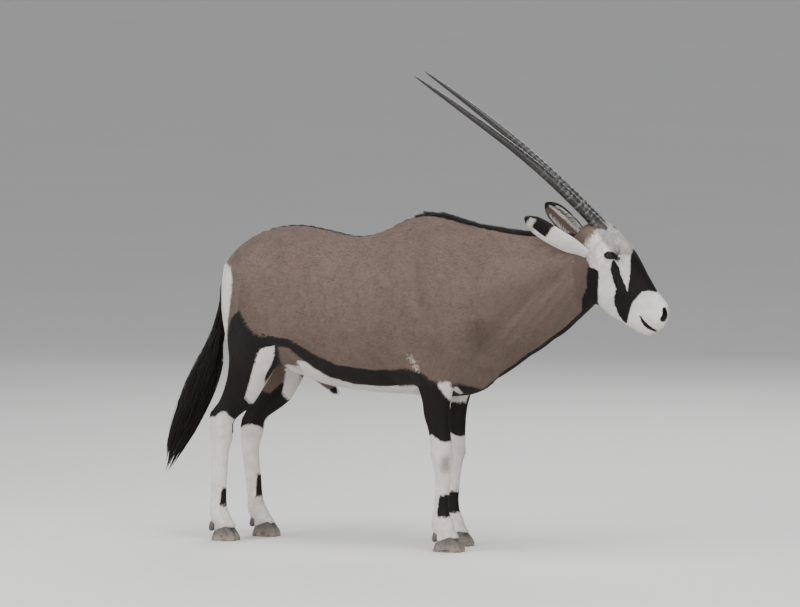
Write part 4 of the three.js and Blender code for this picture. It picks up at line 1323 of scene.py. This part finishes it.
def region_place(points, region):
    """The place of points on a part's map, from 0 to 1: one number along the part, one round it."""
    x, y, z = points.T
    if region == "trunk":
        wide = np.interp(x, TRUNK[:, 0], TRUNK[:, 4])
        turn = np.arctan2(z - wide, np.abs(y)) / np.pi + 0.5
        return np.stack([(x + 520) / 1300, turn], -1)
    if region == "neck":
        wide = np.interp(x, NECK[:, 0], NECK[:, 5])
        middle = np.interp(x, NECK[:, 0], NECK[:, 1])
        return np.stack([(x - 500) / 500, np.arctan2(z - wide, y - middle) / (2 * np.pi) + 0.5], -1)
    if region == "head":
        a, b, c = head_numbers(points)
        return np.stack([(a + 100) / 520, np.arctan2(b + 85, c) / (2 * np.pi) + 0.5], -1)
    rows, step = (FORE, FORE_STEP) if region == "forelegs" else (HIND, HIND_STEP)
    middle = np.interp(z, rows[:, 0], (rows[:, 1] + rows[:, 2]) / 2) + np.where(y > 0, lean(step, z), 0)
    turn = np.arctan2(x - middle, np.abs(y) - LEG_MIDDLE) / (2 * np.pi) + 0.5
    return np.stack([turn / 2 + np.where(y > 0, 0.5, 0.0), z / 720], -1)


def denser_at_eyes(points):
    """How densely hair grows at points: most densely round the eyes."""
    return 1.0 + 1.5 * near_eye(points, 60)


def clear_of_openings(points):
    """Whether points of the head lie clear of the lids, the nostrils and the line of the mouth."""
    clear = np.ones(len(points), bool)
    for side in (1, -1):
        near = np.linalg.norm(points - eye_frame(side)[0], axis=1) < 44
        clear &= ~(near & (lid_numbers(points, side)[0] < 1.22))
    a, b, c = head_numbers(points)
    face_chart = np.stack([a, b], -1)
    clear &= ~((path_distance(face_chart, NOSTRIL_PATH)[0] < 10) & (np.abs(c) > 10))
    return clear & (path_distance(face_chart, MOUTH_PATH)[0] > 2.5)


def grow_coat(skin, material):
    """Short hair over the whole skin, in pieces by part of the body."""
    mesh = skin.data
    points, normals, triangles = points_of(mesh), normals_of(mesh), face_triangles(mesh)
    middle = points[triangles].mean(1)
    a, b, _ = head_numbers(middle)
    head = (middle[:, 0] > 880) & (a > -70) & (b > -260)
    fore = (middle[:, 2] < 590) & (middle[:, 0] > 300) & ~head
    hind = (middle[:, 2] < 610) & (middle[:, 0] < -180) & ~head
    neck = ~head & ~fore & ~hind & (middle[:, 0] > 560)
    trunk = ~head & ~fore & ~hind & ~neck
    # Piece, part of the body, its faces, number of hairs, their length and width.
    regions = [
        ("coat_trunk_right", "trunk", trunk & (middle[:, 1] <= 0), 46000, 13.0, 2.7),
        ("coat_trunk_left", "trunk", trunk & (middle[:, 1] > 0), 46000, 13.0, 2.7),
        ("coat_neck", "neck", neck, 34000, 12.0, 2.3),
        ("coat_head", "head", head, 48000, 6.5, 1.3),
        ("coat_forelegs", "forelegs", fore, 42000, 7.5, 1.6),
        ("coat_hindlegs", "hindlegs", hind, 46000, 8.0, 1.7),
    ]
    pieces = []
    for name, region, chosen, count, length, width in regions:
        roots, up = scattered(points, normals, triangles[chosen], count, denser_at_eyes)
        kept = roots[:, 2] > 33
        if region == "head":
            kept &= clear_of_openings(roots)
        roots, up = roots[kept], up[kept]
        longer = length * (0.75 + 0.5 * rng.random(len(roots)))
        if region == "head":
            longer *= 1.25 - 0.5 * eased(head_numbers(roots)[0], 40, 300)
            longer[near_eye(roots, 46)] *= 0.6
        if region == "trunk":
            longer *= 1 + 0.25 * eased(-up[:, 2], 0.4, 0.9)
        if region in ("forelegs", "hindlegs"):
            longer *= 0.75 + 0.45 * eased(roots[:, 2], 250, 520)
        lift = np.radians(5 + 7 * rng.random(len(roots)))
        wide = width * (0.8 + 0.4 * rng.random(len(roots)))
        places, marks = region_place(roots, region), markings(roots, up)
        pieces.append(blades(name, roots, up, lie_of(roots, up), longer, wide, lift, places, marks, material))
    return pieces


# Long hair

def strands(name, paths, radius, places, material):
    """Long hairs: three-sided rings along each path, a fan at the root and a point at the tip."""
    count, steps = paths.shape[:2]
    along = unit(np.gradient(paths, axis=1))
    side = unit(np.cross(along, np.array([0.31, 0.87, 0.38])))
    other = np.cross(along, side)
    turn = rng.random(count)[:, None, None] * 6.28 + np.arange(3)[None, None, :] * 2 * np.pi / 3
    ring = (
        paths[:, :-1, None, :]
        + radius[:, :-1, None, None] * (np.cos(turn)[..., None] * side[:, :-1, None, :]
                                        + np.sin(turn)[..., None] * other[:, :-1, None, :])
    )
    rings = steps - 1
    points = np.concatenate([ring.reshape(count, rings * 3, 3), paths[:, -1:, :]], 1)
    own = rings * 3 + 1
    faces = [(0, 2, 1)]
    for r in range(rings - 1):
        for k in range(3):
            p, q = r * 3 + k, r * 3 + (k + 1) % 3
            faces += [(p, q, q + 3), (p, q + 3, p + 3)]
    for k in range(3):
        faces.append(((rings - 1) * 3 + k, (rings - 1) * 3 + (k + 1) % 3, rings * 3))
    faces = ((np.arange(count) * own)[:, None, None] + np.array(faces)[None]).reshape(-1, 3)
    points = points.reshape(-1, 3)
    first = points[faces[:len(faces) // count]]
    volume = np.einsum("ij,ij->i", first[:, 0], np.cross(first[:, 1], first[:, 2])).sum()
    piece = new_piece(name, points, faces if volume > 0 else faces[:, ::-1], material)
    spread = np.zeros((own, 2))
    spread[:, 1] = np.linspace(0, 1, own)
    spread[:, 0] = (np.arange(own) % 3) * 0.4 - 0.4
    patch_map(piece, places, own, spread)
    number_attribute(piece, "shade", np.repeat(rng.random(count), own))
    return piece


def crest_line(x):
    """Middle and height of the top of the neck and withers."""
    trunk_top = np.where(x < 580, np.interp(x, TRUNK[:, 0], TRUNK[:, 1]), 0)
    neck_top = np.where(x > 400, np.interp(x, NECK[:, 0], NECK[:, 2]), 0)
    y = np.where(x > 480, np.interp(x, NECK[:, 0], NECK[:, 1]), 0)
    return np.stack([x, y, np.maximum(trunk_top, neck_top)], -1)


def grow_mane(material):
    """Short upright hair from the withers to the poll, leaning back, in a narrow strip along the crest."""
    count, steps = 5200, 6
    x = 292 + 640 * rng.random(count) ** 0.95
    start = crest_line(x)
    middle_y = start[:, 1].copy()
    start[:, 1] += rng.normal(0, 4.5, count)
    start[:, 2] -= 7 + np.abs(start[:, 1] - middle_y) * 0.5
    rise = 12 + 5 * eased(x, 300, 460) + rng.normal(0, 2.2, count)
    back = 24 + 12 * rng.random(count)
    sway = rng.normal(0, 5, count) + 4 * np.sin(x / 23)
    t = np.linspace(0, 1, steps)[None, :]
    paths = start[:, None, :] + np.stack([
        -back[:, None] * t**1.5, sway[:, None] * t, rise[:, None] * np.sin(t * 1.35),
    ], -1)
    ordered = np.sort(x)
    slopes = np.gradient(crest_line(ordered)[:, 2], ordered + np.arange(count) * 1e-6)
    slope = np.interp(x, ordered, slopes)
    paths[..., 2] -= (slope * back)[:, None] * t**1.5
    radius = 0.75 * (1 - 0.75 * t)
    places = np.stack([(x - 250) / 720, 0.5 + (start[:, 1] - middle_y) / 60], -1)
    return strands("mane_hair", paths, radius, places, material)


def tail_point(z, angle, share):
    """Points at a height, an angle round the tail and a share of the way from its middle to its outside."""
    _, x, deep, wide = smooth_rows(TAIL, z).T
    return np.stack([x + np.cos(angle) * deep * share, np.sin(angle) * wide * share, z], -1)


def grow_tail_hair(material):
    """Hair of the tail: strands leave the dock all the way down and gather in locks with thin points."""
    upper, lower = 34, 54
    locks = upper + lower
    lowest = 214
    lock_angle = rng.random(locks) * 2 * np.pi
    lock_start = np.concatenate([rng.uniform(690, 850, upper), rng.uniform(590, 700, lower)])
    lock_end = np.clip(lock_start - rng.uniform(260, 420, locks), lowest, 600)
    lock_end[upper:] = np.clip(lowest + rng.exponential(70, lower), lowest, 430)
    lock_share = rng.uniform(0.35, 0.98, locks)
    count, steps = 2800, 11
    own = rng.integers(0, locks, count)
    t = np.linspace(0, 1, steps)[None, :]
    start = np.clip(lock_start[own] + rng.normal(0, 16, count), 590, 868)
    end = np.clip(lock_end[own] + np.abs(rng.normal(0, 26, count)), 208, 640)
    z = start[:, None] + (end - start)[:, None] * t
    loose = rng.normal(0, 0.34, count)[:, None] * np.sin(np.pi * np.clip(t * 1.05, 0, 1)) ** 0.8
    wave = 0.1 * np.sin(t * 7 + lock_angle[own][:, None] * 3)
    angle = lock_angle[own][:, None] + loose + wave
    share = 0.28 + (lock_share[own][:, None] - 0.28) * eased(t, 0.0, 0.45)
    share = share + rng.normal(0, 0.07, count)[:, None] * np.sin(np.pi * t)
    share = np.clip(share, 0.1, 1.02)
    paths = tail_point(z.ravel(), angle.ravel(), share.ravel()).reshape(count, steps, 3)
    radius = 0.95 * (0.55 + 0.6 * np.sin(np.pi * t ** 0.7)) * (1 - 0.5 * t)
    places = np.stack([angle[:, 0] % 6.283 / 6.283, (start - 560) / 330], -1)
    return strands("tail_hair", paths, radius, places, material)


def grow_dock_hair(material):
    """Shorter hair that covers the fleshy root of the tail and never leaves the tail's own outline."""
    count, steps = 2600, 6
    z = rng.uniform(640, 930, count)
    around = rng.random(count) * 2 * np.pi
    t = np.linspace(0, 1, steps)[None, :]
    length = 34 + 60 * eased(-z, -860, -680)
    height = np.maximum(z[:, None] - length[:, None] * t, 560)
    size = dock_radius(z) - 1
    out = size[:, None] + (3 + 9 * t) * eased(t, 0, 0.5)
    _, x, deep, wide = smooth_rows(TAIL, height.ravel()).T
    middle = np.stack([x.reshape(count, steps), np.zeros((count, steps)), height], -1)
    out = np.minimum(out, np.minimum(deep, wide).reshape(count, steps) * 1.02)
    paths = middle + out[..., None] * np.stack([np.cos(around), np.sin(around), 0 * around], -1)[:, None, :]
    radius = 0.9 * (1 - 0.7 * t)
    places = np.stack([around / 6.283, (z - 560) / 390], -1)
    return strands("tail_dock_hair", paths, radius, places, material)


def anywhere(count):
    """Random places on the map for so many hairs."""
    return rng.random((count, 2)) * 0.9 + 0.05


def grow_sheath_tuft(material):
    """A few dark hairs at the end of the sheath."""
    count, steps = 260, 6
    start = np.stack([rng.normal(-60, 5, count), rng.normal(0, 5, count), rng.normal(553, 4, count)], -1)
    t = np.linspace(0, 1, steps)[None, :]
    length = rng.uniform(12, 24, count)
    spread = rng.normal(0, 0.22, (count, 2))
    paths = start[:, None, :] + length[:, None, None] * np.stack([
        (0.45 + spread[:, :1]) * t, spread[:, 1:] * t, -0.9 * t - 0.1 * t * t + 0 * spread[:, :1],
    ], -1)
    radius = 0.7 * (1 - 0.7 * t)
    return strands("sheath_tuft", paths, radius, anywhere(count), material)


def grow_lashes(material):
    """Upper lashes: a row of short curved hairs on the rolled edge of each lid."""
    pieces = []
    for side, label in SIDES:
        middle, out, long_axis, up_axis = eye_frame(side)
        count, steps = 130, 6
        u = rng.uniform(-15, 14, count)
        v = 8.6 * np.sqrt(np.clip(1 - (u / 17.5) ** 2, 0, 1)) + 0.12 * u + rng.normal(0, 0.5, count)
        reach = np.sqrt(np.clip((EYE["radius"] + 3.4) ** 2 - u**2 - v**2, 1, None))
        start = middle + u[:, None] * long_axis + v[:, None] * up_axis + reach[:, None] * out
        t = np.linspace(0, 1, steps)[None, :, None]
        length = rng.uniform(7, 12, count)[:, None, None]
        fan = (u / 26)[:, None, None] * long_axis
        paths = start[:, None, :] + length * t * (out * 0.9 - up_axis * (0.55 - 0.6 * t) + fan)
        radius = 0.28 * (1 - 0.8 * t[..., 0])
        pieces.append(strands(f"lashes_{label}", paths, radius, anywhere(count), material))
    return pieces


# Eyes, horns, ears and feet

def make_eye(side, label, material):
    """Eyeball with a cornea that bulges by 1.2 * exp(-(angle / 0.62)^4), closed at both poles."""
    middle, out, long_axis, up_axis = eye_frame(side)
    v = np.linspace(0.02, np.pi - 0.02, 48)[:, None]
    u = (np.arange(56) / 56 * 2 * np.pi)[None, :]
    size = EYE["radius"] - 0.7 + 1.2 * np.exp(-((v / 0.62) ** 4))
    around = np.cos(u)[..., None] * long_axis + np.sin(u)[..., None] * up_axis
    rings = middle + size[..., None] * (np.cos(v)[..., None] * out + np.sin(v)[..., None] * around)
    points, faces = tube(rings)
    eye = new_piece(f"eyeball_{label}", points, faces, material)
    way = unit(points - middle)
    flat_u, flat_v = way @ long_axis, way @ up_axis
    front = way @ out > 0
    number_attribute(eye, "pupil", np.where(front, np.hypot(flat_u / 0.42, flat_v / 0.26), 3))
    number_attribute(eye, "rim", np.where(front, np.hypot(flat_u, flat_v) / 0.8, 3))
    return eye


# Length along a horn's middle, its radius at the root, and the root's place on the head.
HORN_LENGTH = 856.0
HORN_RADIUS = 21.5
HORN_ROOT = (-1, -37, 30)
# Rings in the lower 0.6 of a horn; the uppermost of them fade away.
HORN_RINGS = 24.5
# Share of a horn's length, its rise and its spread from the middle of the head in degrees.
HORN_WAY = np.array([
    [0, 46.5, 3],
    [0.2, 43.5, 8],
    [0.4, 40, 14],
    [0.6, 36.6, 12],
    [0.78, 36, 7],
    [0.9, 35.2, 3],
    [1, 34.6, 0],
])


def with_ends(values, shape, first, last):
    """A value for each point of a tube's rings, then one for the middle point of each end."""
    return np.concatenate([np.broadcast_to(values, shape).ravel(), [first, last]])


def make_horn(side, label, material):
    """Long tapering horn, radius * (1 - 0.68 t) * sqrt(1 - t^10), with rings on its lower part."""
    count, around = 520, 40
    buried = 0.04
    t = -buried + (1 + buried) * np.linspace(0, 1, count) ** 0.92
    ahead = np.clip(t, 0, 1)
    _, rise, spread = np.radians(smooth_rows(HORN_WAY, ahead).T)
    turn = np.pi + HEAD_YAW - side * spread
    along = np.stack([np.cos(rise) * np.cos(turn), np.cos(rise) * np.sin(turn), np.sin(rise)], -1)
    step = np.diff(t, prepend=-buried)[:, None] * HORN_LENGTH
    a, b, c = HORN_ROOT
    middle = on_head(a, b, side * c) + np.cumsum(along * step, axis=0)
    across = unit(np.cross(along, UP))
    top = np.cross(across, along)
    angle = (np.arange(around) / around * 2 * np.pi)[None, :]
    taper = HORN_RADIUS * np.maximum(0.05, (1 - 0.68 * ahead) * np.sqrt(1 - ahead**10))[:, None]
    lower = (eased(t, 0.012, 0.05) * (1 - eased(t, 0.5, 0.64)))[:, None]
    tilt = 0.12 * np.sin(angle + 0.7)
    phase = HORN_RINGS * (np.maximum(t, 0)[:, None] / 0.6) ** 0.88 + tilt + 0.05 * np.sin(3 * angle)
    saw = phase - np.floor(phase)
    ridge = np.where(saw < 0.62, eased(saw, 0.0, 0.62), 1 - eased(saw, 0.62, 1.0))
    front = 0.72 + 0.28 * np.cos(angle - 0.3)
    rough = 0.35 * np.sin(9 * angle + 14 * t[:, None]) + 0.25 * np.sin(17 * angle - 30 * t[:, None])
    worn = 0.62 + 0.38 * np.sin(5.3 * phase) * np.cos(2 * angle + 1.3 * phase)
    rings_out = lower * (ridge * 2.2 * worn - 0.6) * front * (1 - 0.75 * ahead[:, None])
    size = np.maximum(taper + rings_out + rough * (1 - ahead[:, None]) * 0.7, 0.8)
    rings = middle[:, None, :] + size[..., None] * (
        np.cos(angle)[..., None] * top[:, None, :] + np.sin(angle)[..., None] * across[:, None, :]
    )
    points, faces = tube(rings)
    horn = new_piece(f"horn_{label}_ringed", points, faces, material)
    number_attribute(horn, "ridge", with_ends(ridge * lower + 0.4 * (1 - lower), size.shape, 0, 0))
    number_attribute(horn, "along", with_ends(t[:, None], size.shape, 0, 1))
    return horn


# Ear: share of its length, half width, depth of the cup, share of the cup that is hollow.
EAR = np.array([
    [0, 17, 17, 0.1],
    [0.1, 21, 18, 0.35],
    [0.22, 28, 19, 0.65],
    [0.4, 35, 19, 0.82],
    [0.58, 37, 17, 0.85],
    [0.75, 34, 14, 0.8],
    [0.88, 26, 10, 0.7],
    [0.96, 15, 6, 0.5],
    [1, 6, 3, 0.3],
])
# Each ear's root on the head, its way from root to tip, and the way its cup opens.
EARS = {
    "right": {
        "root": (12.0, -129.0, -60.0),
        "reach": np.array([-194.0, -103.0, 128.0]),
        "opening": np.array([-0.35, 0.8, 0.45]),
    },
    "left": {
        "root": (4.0, -124.0, 60.0),
        "reach": np.array([-199.0, 36.0, 150.0]),
        "opening": np.array([-0.25, -0.9, 0.35]),
    },
}
EAR_WALL = 3.0
EAR_BOW = 10


def ear_lines(label):
    """An ear's root, its way to the tip, and the directions along it, across it and into its cup."""
    ear = EARS[label]
    along = unit(ear["reach"])
    across = unit(np.cross(along, ear["opening"]))
    return on_head(*ear["root"]), ear["reach"], along, across, np.cross(across, along)


def ear_middle(label, t):
    """Middle line of an ear at shares of its length, bowed toward its back."""
    place, reach, _, _, inward = ear_lines(label)
    bow = (EAR_BOW * np.sin(np.clip(t, 0, 1) * np.pi))[:, None]
    return place + t[:, None] * reach - inward * bow


def make_ear(label, material):
    """A leaf rolled to a cup: the outer wall follows half an oval, the inner wall lies 3 mm inside it."""
    _, _, _, across, inward = ear_lines(label)
    t = np.linspace(0, 1, 56)
    _, half, depth, hollow = smooth_rows(EAR, t).T
    half, depth, hollow = half[:, None], depth[:, None], np.clip(hollow, 0.05, 0.92)[:, None]
    middle = ear_middle(label, t)
    outer_points = 30
    angle = np.linspace(0, np.pi, outer_points)[None, :]
    curl = 1 + 0.05 * np.sin(t * 9)[:, None] * np.cos(angle) ** 2
    outer_across, outer_in = -np.cos(angle) * half * curl, -np.sin(angle) * depth
    back = angle[:, ::-1][:, 1:-1]
    inner = np.maximum(1 - EAR_WALL / np.maximum(half, 6), 0.35)
    fold = 1.6 * np.sin(back * 3) * eased(t, 0.05, 0.3)[:, None]
    inner_across = -np.cos(back) * half * inner
    inner_in = -np.sin(back) * (depth * hollow - 2.5 * hollow) + (1 - hollow) * 2.5 + fold * hollow * 0.6
    wide = np.concatenate([outer_across, inner_across], 1)
    deep = np.concatenate([outer_in, inner_in], 1)
    rings = middle[:, None, :] + wide[..., None] * across + deep[..., None] * inward
    points, faces = tube(rings)
    ear = new_piece(f"ear_{label}_leaf", points, faces, material)
    ring_t = with_ends(t[:, None], wide.shape, 0, 1)
    spread = with_ends(wide / np.maximum(half, 1), wide.shape, 0, 0)
    inside = with_ends(np.arange(wide.shape[1]) >= outer_points, wide.shape, False, False)
    for key, values in ear_marks(ring_t, spread, inside, label).items():
        number_attribute(ear, key, values)
    number_attribute(ear, "shade", np.full(len(points), 0.5))
    return ear


def ear_marks(t, spread, inside, label):
    """Ears: white backs with a black patch before the black tip; the hollow is dusky with a pale streak."""
    patch = 24 * (1 - ((t - 0.73) / 0.12) ** 2)
    lower, upper = (spread, -spread) if label == "right" else (-spread, spread)
    patch = np.minimum(patch, 26 - 70 * np.maximum(lower, 0))
    tip = (t - 0.94) * 240
    edge = (upper - 0.8) * 60 - LIMIT * (1 - eased(t, 0.5, 0.62))
    rim = (np.abs(spread) - 0.86) * 60 - LIMIT * (1 - eased(t, 0.26, 0.36))
    outside = np.maximum(np.maximum(patch, tip), edge)
    hollow = 9 - 60 * np.abs(upper - 0.62) - LIMIT * (1 - eased(t, 0.3, 0.46))
    black = np.where(inside, np.maximum(np.maximum(hollow, tip), rim), outside)
    streak = 6 - 36 * np.abs(upper - 0.18)
    grey = 0.1 + 0.8 * eased(t, 0.74, 0.84)
    white = np.where(inside, streak, 30.0)
    return {"black": black, "white": white, "tone": np.where(inside, 0.7, grey), "bare": np.zeros(len(t))}


def grow_ear_hair(label, ear, material):
    """Short hair on the back of the ear and a fringe of longer hair from its edges into the cup."""
    place, reach, along, across, inward = ear_lines(label)
    mesh = ear.data
    points, normals, triangles = points_of(mesh), normals_of(mesh), face_triangles(mesh)
    roots, up = scattered(points, normals, triangles, 9000)
    t = (roots - place) @ reach / (reach @ reach)
    half = np.interp(t, EAR[:, 0], EAR[:, 1])
    spread = ((roots - ear_middle(label, t)) @ across) / half
    inside = (up @ inward) > 0.05
    lie = unit(along - up * (up @ along)[:, None])
    marks = ear_marks(t, spread, inside, label)
    length = np.where(inside, 8.0, 6.5) * (0.8 + 0.5 * rng.random(len(roots)))
    length *= 1 - 0.35 * eased(t, 0.8, 1.0)
    across_map = np.clip(spread, -1, 1) * 0.22 + np.where(inside, 0.75, 0.25)
    places = np.stack([np.clip(t, 0, 1) * 0.9 + 0.05, across_map], -1)
    width = np.full(len(roots), 1.3)
    lift = np.radians(6 + 8 * rng.random(len(roots)))
    short = blades(f"ear_{label}_coat", roots, up, lie, length, width, lift, places, marks, material)

    count, steps = 420, 6
    t = rng.uniform(0.14, 0.84, count)
    edge = np.where(rng.random(count) < 0.5, -1.0, 1.0)
    half = np.interp(t, EAR[:, 0], EAR[:, 1])
    start = ear_middle(label, t) + (edge * half * 0.86)[:, None] * across
    s = np.linspace(0, 1, steps)[None, :, None]
    length = rng.uniform(15, 30, count)[:, None, None] * (1 - 0.4 * t)[:, None, None]
    way = 0.75 * along - (edge * 0.8)[:, None] * across + 0.18 * inward + rng.normal(0, 0.12, (count, 3))
    paths = start[:, None, :] + length * s * (way[:, None, :] - inward * 0.25 * s)
    radius = 0.42 * (1 - 0.8 * s[..., 0])
    fringe = strands(f"ear_{label}_fringe", paths, radius, anywhere(count), material)
    for key, value in (("black", -30.0), ("white", 30.0), ("tone", 0.2), ("bare", 0.0)):
        number_attribute(fringe, key, np.full(len(fringe.data.vertices), value))
    return [short, fringe]


# Claw: height, rear end, front end, half width.
CLAW = np.array([
    [0, -44, 46, 18.5],
    [8, -45, 46, 19],
    [30, -42, 31, 18],
    [58, -34, 8, 15],
])


def make_claw(name, foot_x, foot_y, toe, stretch, material):
    """One claw: outlines stacked from the flat sole to the sloping coronet, with shallow growth rings."""
    level = np.concatenate([[0, 0.004, 0.03], np.linspace(0.07, 1.12, 34)])
    inset = np.zeros(len(level))
    inset[:2] = 1.2, 0.4
    turn = (np.arange(48) / 48 * 2 * np.pi)[None, :]
    _, rear, front, half = smooth_rows(CLAW, np.clip(level * CORONET * 1.06, 0, 58)).T
    rear, front = rear * stretch, front * stretch
    cosine, sine = np.cos(turn), np.sin(turn)
    to_front, to_rear = (front - inset)[:, None] * cosine, (rear + inset)[:, None] * np.abs(cosine) ** 0.75
    ahead = np.where(cosine > 0, to_front, to_rear)
    pinch = np.where(cosine > 0, np.abs(sine) ** 0.86, np.abs(sine) ** 0.62)
    wide = np.sign(sine) * pinch * (half - inset)[:, None]
    grooves = (0.35 * np.sin(level * 38) * (level > 0.1) * (level < 0.95))[:, None]
    wide = wide + np.sign(sine) * pinch * grooves
    ahead = ahead + cosine * grooves
    height = level[:, None] * (CORONET + CORONET_SLOPE * ahead)
    inward = -toe * np.maximum(0, ahead) * 0.1
    rings = np.stack([foot_x + ahead, foot_y + wide + inward, height], -1)
    points, faces = tube(rings)
    return new_piece(name, points, faces, material)


DEWCLAW_RADIUS = 13.5
DEWCLAW_LENGTH = 32


def make_dewclaw(name, place, toe, material):
    """A small blunt claw: rings shrink from its root to a rounded tip that points down and back."""
    t = np.linspace(0, 1, 18)
    along = unit(np.array([-0.45, 0.12 * toe, -1.0]))
    middle = place + (t * DEWCLAW_LENGTH - 14)[:, None] * along
    size = DEWCLAW_RADIUS * np.sqrt(np.clip(1 - (t * 0.99) ** 2.4, 0, 1)) + 0.25 * np.sin(t * 26)
    side = unit(np.cross(along, AHEAD))
    rings = egg_rings(24, middle, side, np.cross(side, along), size, size * 1.15, size)
    return new_piece(name, *tube(rings), material)


# Assembly

coat = coat_finish("short_coat", 0.0016)
fine_coat = coat_finish("fine_coat", 0.0009)
dark_hair = hair_finish("dark_hair")
horn_growth = horn_finish()
hoof_growth = hoof_finish()
wet_eye = eye_finish()

FLESH = ["torso", "neck", "head", "foreleg_right", "foreleg_left", "hindleg_right", "hindleg_left"]

# Leg, middle of its hoof, step of the left one, and how much longer its claws are than the hind ones.
LEGS = [
    ("foreleg", FORE_FOOT, FORE_STEP, 1.15),
    ("hindleg", HIND_FOOT, HIND_STEP, 1.0),
]
# How far the two claws and the two dewclaws of a foot stand off the leg's middle, and a dewclaw's place.
CLAW_APART = 20.5
DEWCLAW_APART = 17
DEWCLAW_BACK = 47
DEWCLAW_HEIGHT = 50.0


def settle(piece, slot_name, *nodes):
    """Hangs the piece on the root body and hides the solids it stands for; slot_name, the finish it takes, is
    not used.
    """
    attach(piece, "root")
    if nodes:
        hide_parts(*nodes)


skin = make_skin(fine_coat)
skin_points, skin_normals = points_of(skin.data), normals_of(skin.data)
for key, values in markings(skin_points, skin_normals).items():
    number_attribute(skin, key, values)
number_attribute(skin, "shade", np.full(len(skin_points), 0.45))
settle(skin, "coat", *FLESH)
for piece in grow_coat(skin, coat):
    settle(piece, "coat")

for side, label in SIDES:
    settle(make_eye(side, label, wet_eye), "eye", f"eye_{label}")
    settle(make_horn(side, label, horn_growth), "horn", f"horn_{label}")
    ear = make_ear(label, fine_coat)
    settle(ear, "ear", f"ear_{label}")
    for piece in grow_ear_hair(label, ear, coat):
        settle(piece, "ear")
    for leg, foot, step, stretch in LEGS:
        foot_x = foot_middle(foot, step, side)
        for toe in (-1, 1):
            place = "outer" if toe * side > 0 else "inner"
            foot_y = side * LEG_MIDDLE + toe * CLAW_APART
            claw = make_claw(f"claw_{leg}_{label}_{place}", foot_x, foot_y, toe, stretch, hoof_growth)
            settle(claw, "hoof", f"hoof_{leg}_{label}_{place}")
            spot = np.array([foot_x - DEWCLAW_BACK, side * LEG_MIDDLE + toe * DEWCLAW_APART, DEWCLAW_HEIGHT])
            settle(make_dewclaw(f"dewclaw_{leg}_{label}_{place}", spot, toe, hoof_growth), "hoof")

settle(grow_mane(dark_hair), "dark_hair", "mane")
settle(grow_tail_hair(dark_hair), "dark_hair", "tail")
settle(grow_dock_hair(dark_hair), "dark_hair")
settle(grow_sheath_tuft(dark_hair), "dark_hair")
for piece in grow_lashes(dark_hair):
    settle(piece, "dark_hair")


# Studio

FLOOR_RADIUS = 48000
FLOOR_SIDES = 64


def make_floor(material):
    """A round floor so wide that its edge lies at the horizon."""
    turn = np.arange(FLOOR_SIDES) / FLOOR_SIDES * 2 * np.pi
    rim = FLOOR_RADIUS * np.stack([np.cos(turn), np.sin(turn), 0 * turn], -1) - TO_FRAME
    return new_piece("floor", rim, np.arange(FLOOR_SIDES)[None, :], material, smooth=False)


floor = make_floor(floor_finish())


def add_light(name, spot, aim, size, watts, colour=(1.0, 1.0, 1.0)):
    """A round lamp of this width at a spot, turned to its aim."""
    data = bpy.data.lights.new(name, "AREA")
    data.shape = "DISK"
    data.size = size
    data.energy = watts
    data.color = colour
    light = bpy.data.objects.new(name, data)
    bpy.context.collection.objects.link(light)
    light.location = spot
    light.rotation_euler = (Vector(aim) - Vector(spot)).to_track_quat("-Z", "Y").to_euler()


add_light("overhead", (0.4, -1.2, 5.2), (0, 0, 0.6), 5.0, 330)
add_light("front_left", (-3.6, -5.2, 3.0), (0, 0, 0.8), 4.0, 260, (1.0, 0.99, 0.97))
add_light("front_right", (5.0, -4.2, 2.4), (0.2, 0, 0.8), 3.5, 170, (0.98, 0.99, 1.0))
add_light("behind", (-1.2, 5.4, 4.2), (0, 0, 0.9), 4.0, 200)

world = bpy.data.worlds.new("studio")
world.use_nodes = True
background = world.node_tree.nodes["Background"]
background.inputs["Color"].default_value = (0.93, 0.95, 1.0, 1.0)
background.inputs["Strength"].default_value = 0.55
bpy.context.scene.world = world

# Camera: 27 degrees round from the animal's right side, nearly level, with a long lens.
camera_data = bpy.data.cameras.new("camera")
camera_data.lens = 600
camera_data.sensor_width = 36
camera_data.clip_end = 200
camera = bpy.data.objects.new("camera", camera_data)
bpy.context.collection.objects.link(camera)
ROUND = np.radians(27)
ELEVATION = np.radians(4.7)
DISTANCE = 47.3
target = Vector((-0.0136, -0.010, 0.8638))
camera.location = target + DISTANCE * Vector((
    float(np.sin(ROUND) * np.cos(ELEVATION)),
    float(-np.cos(ROUND) * np.cos(ELEVATION)),
    float(np.sin(ELEVATION)),
))
camera.rotation_euler = (target - camera.location).to_track_quat("-Z", "Y").to_euler()
bpy.context.scene.camera = camera

bpy.context.view_layer.update()
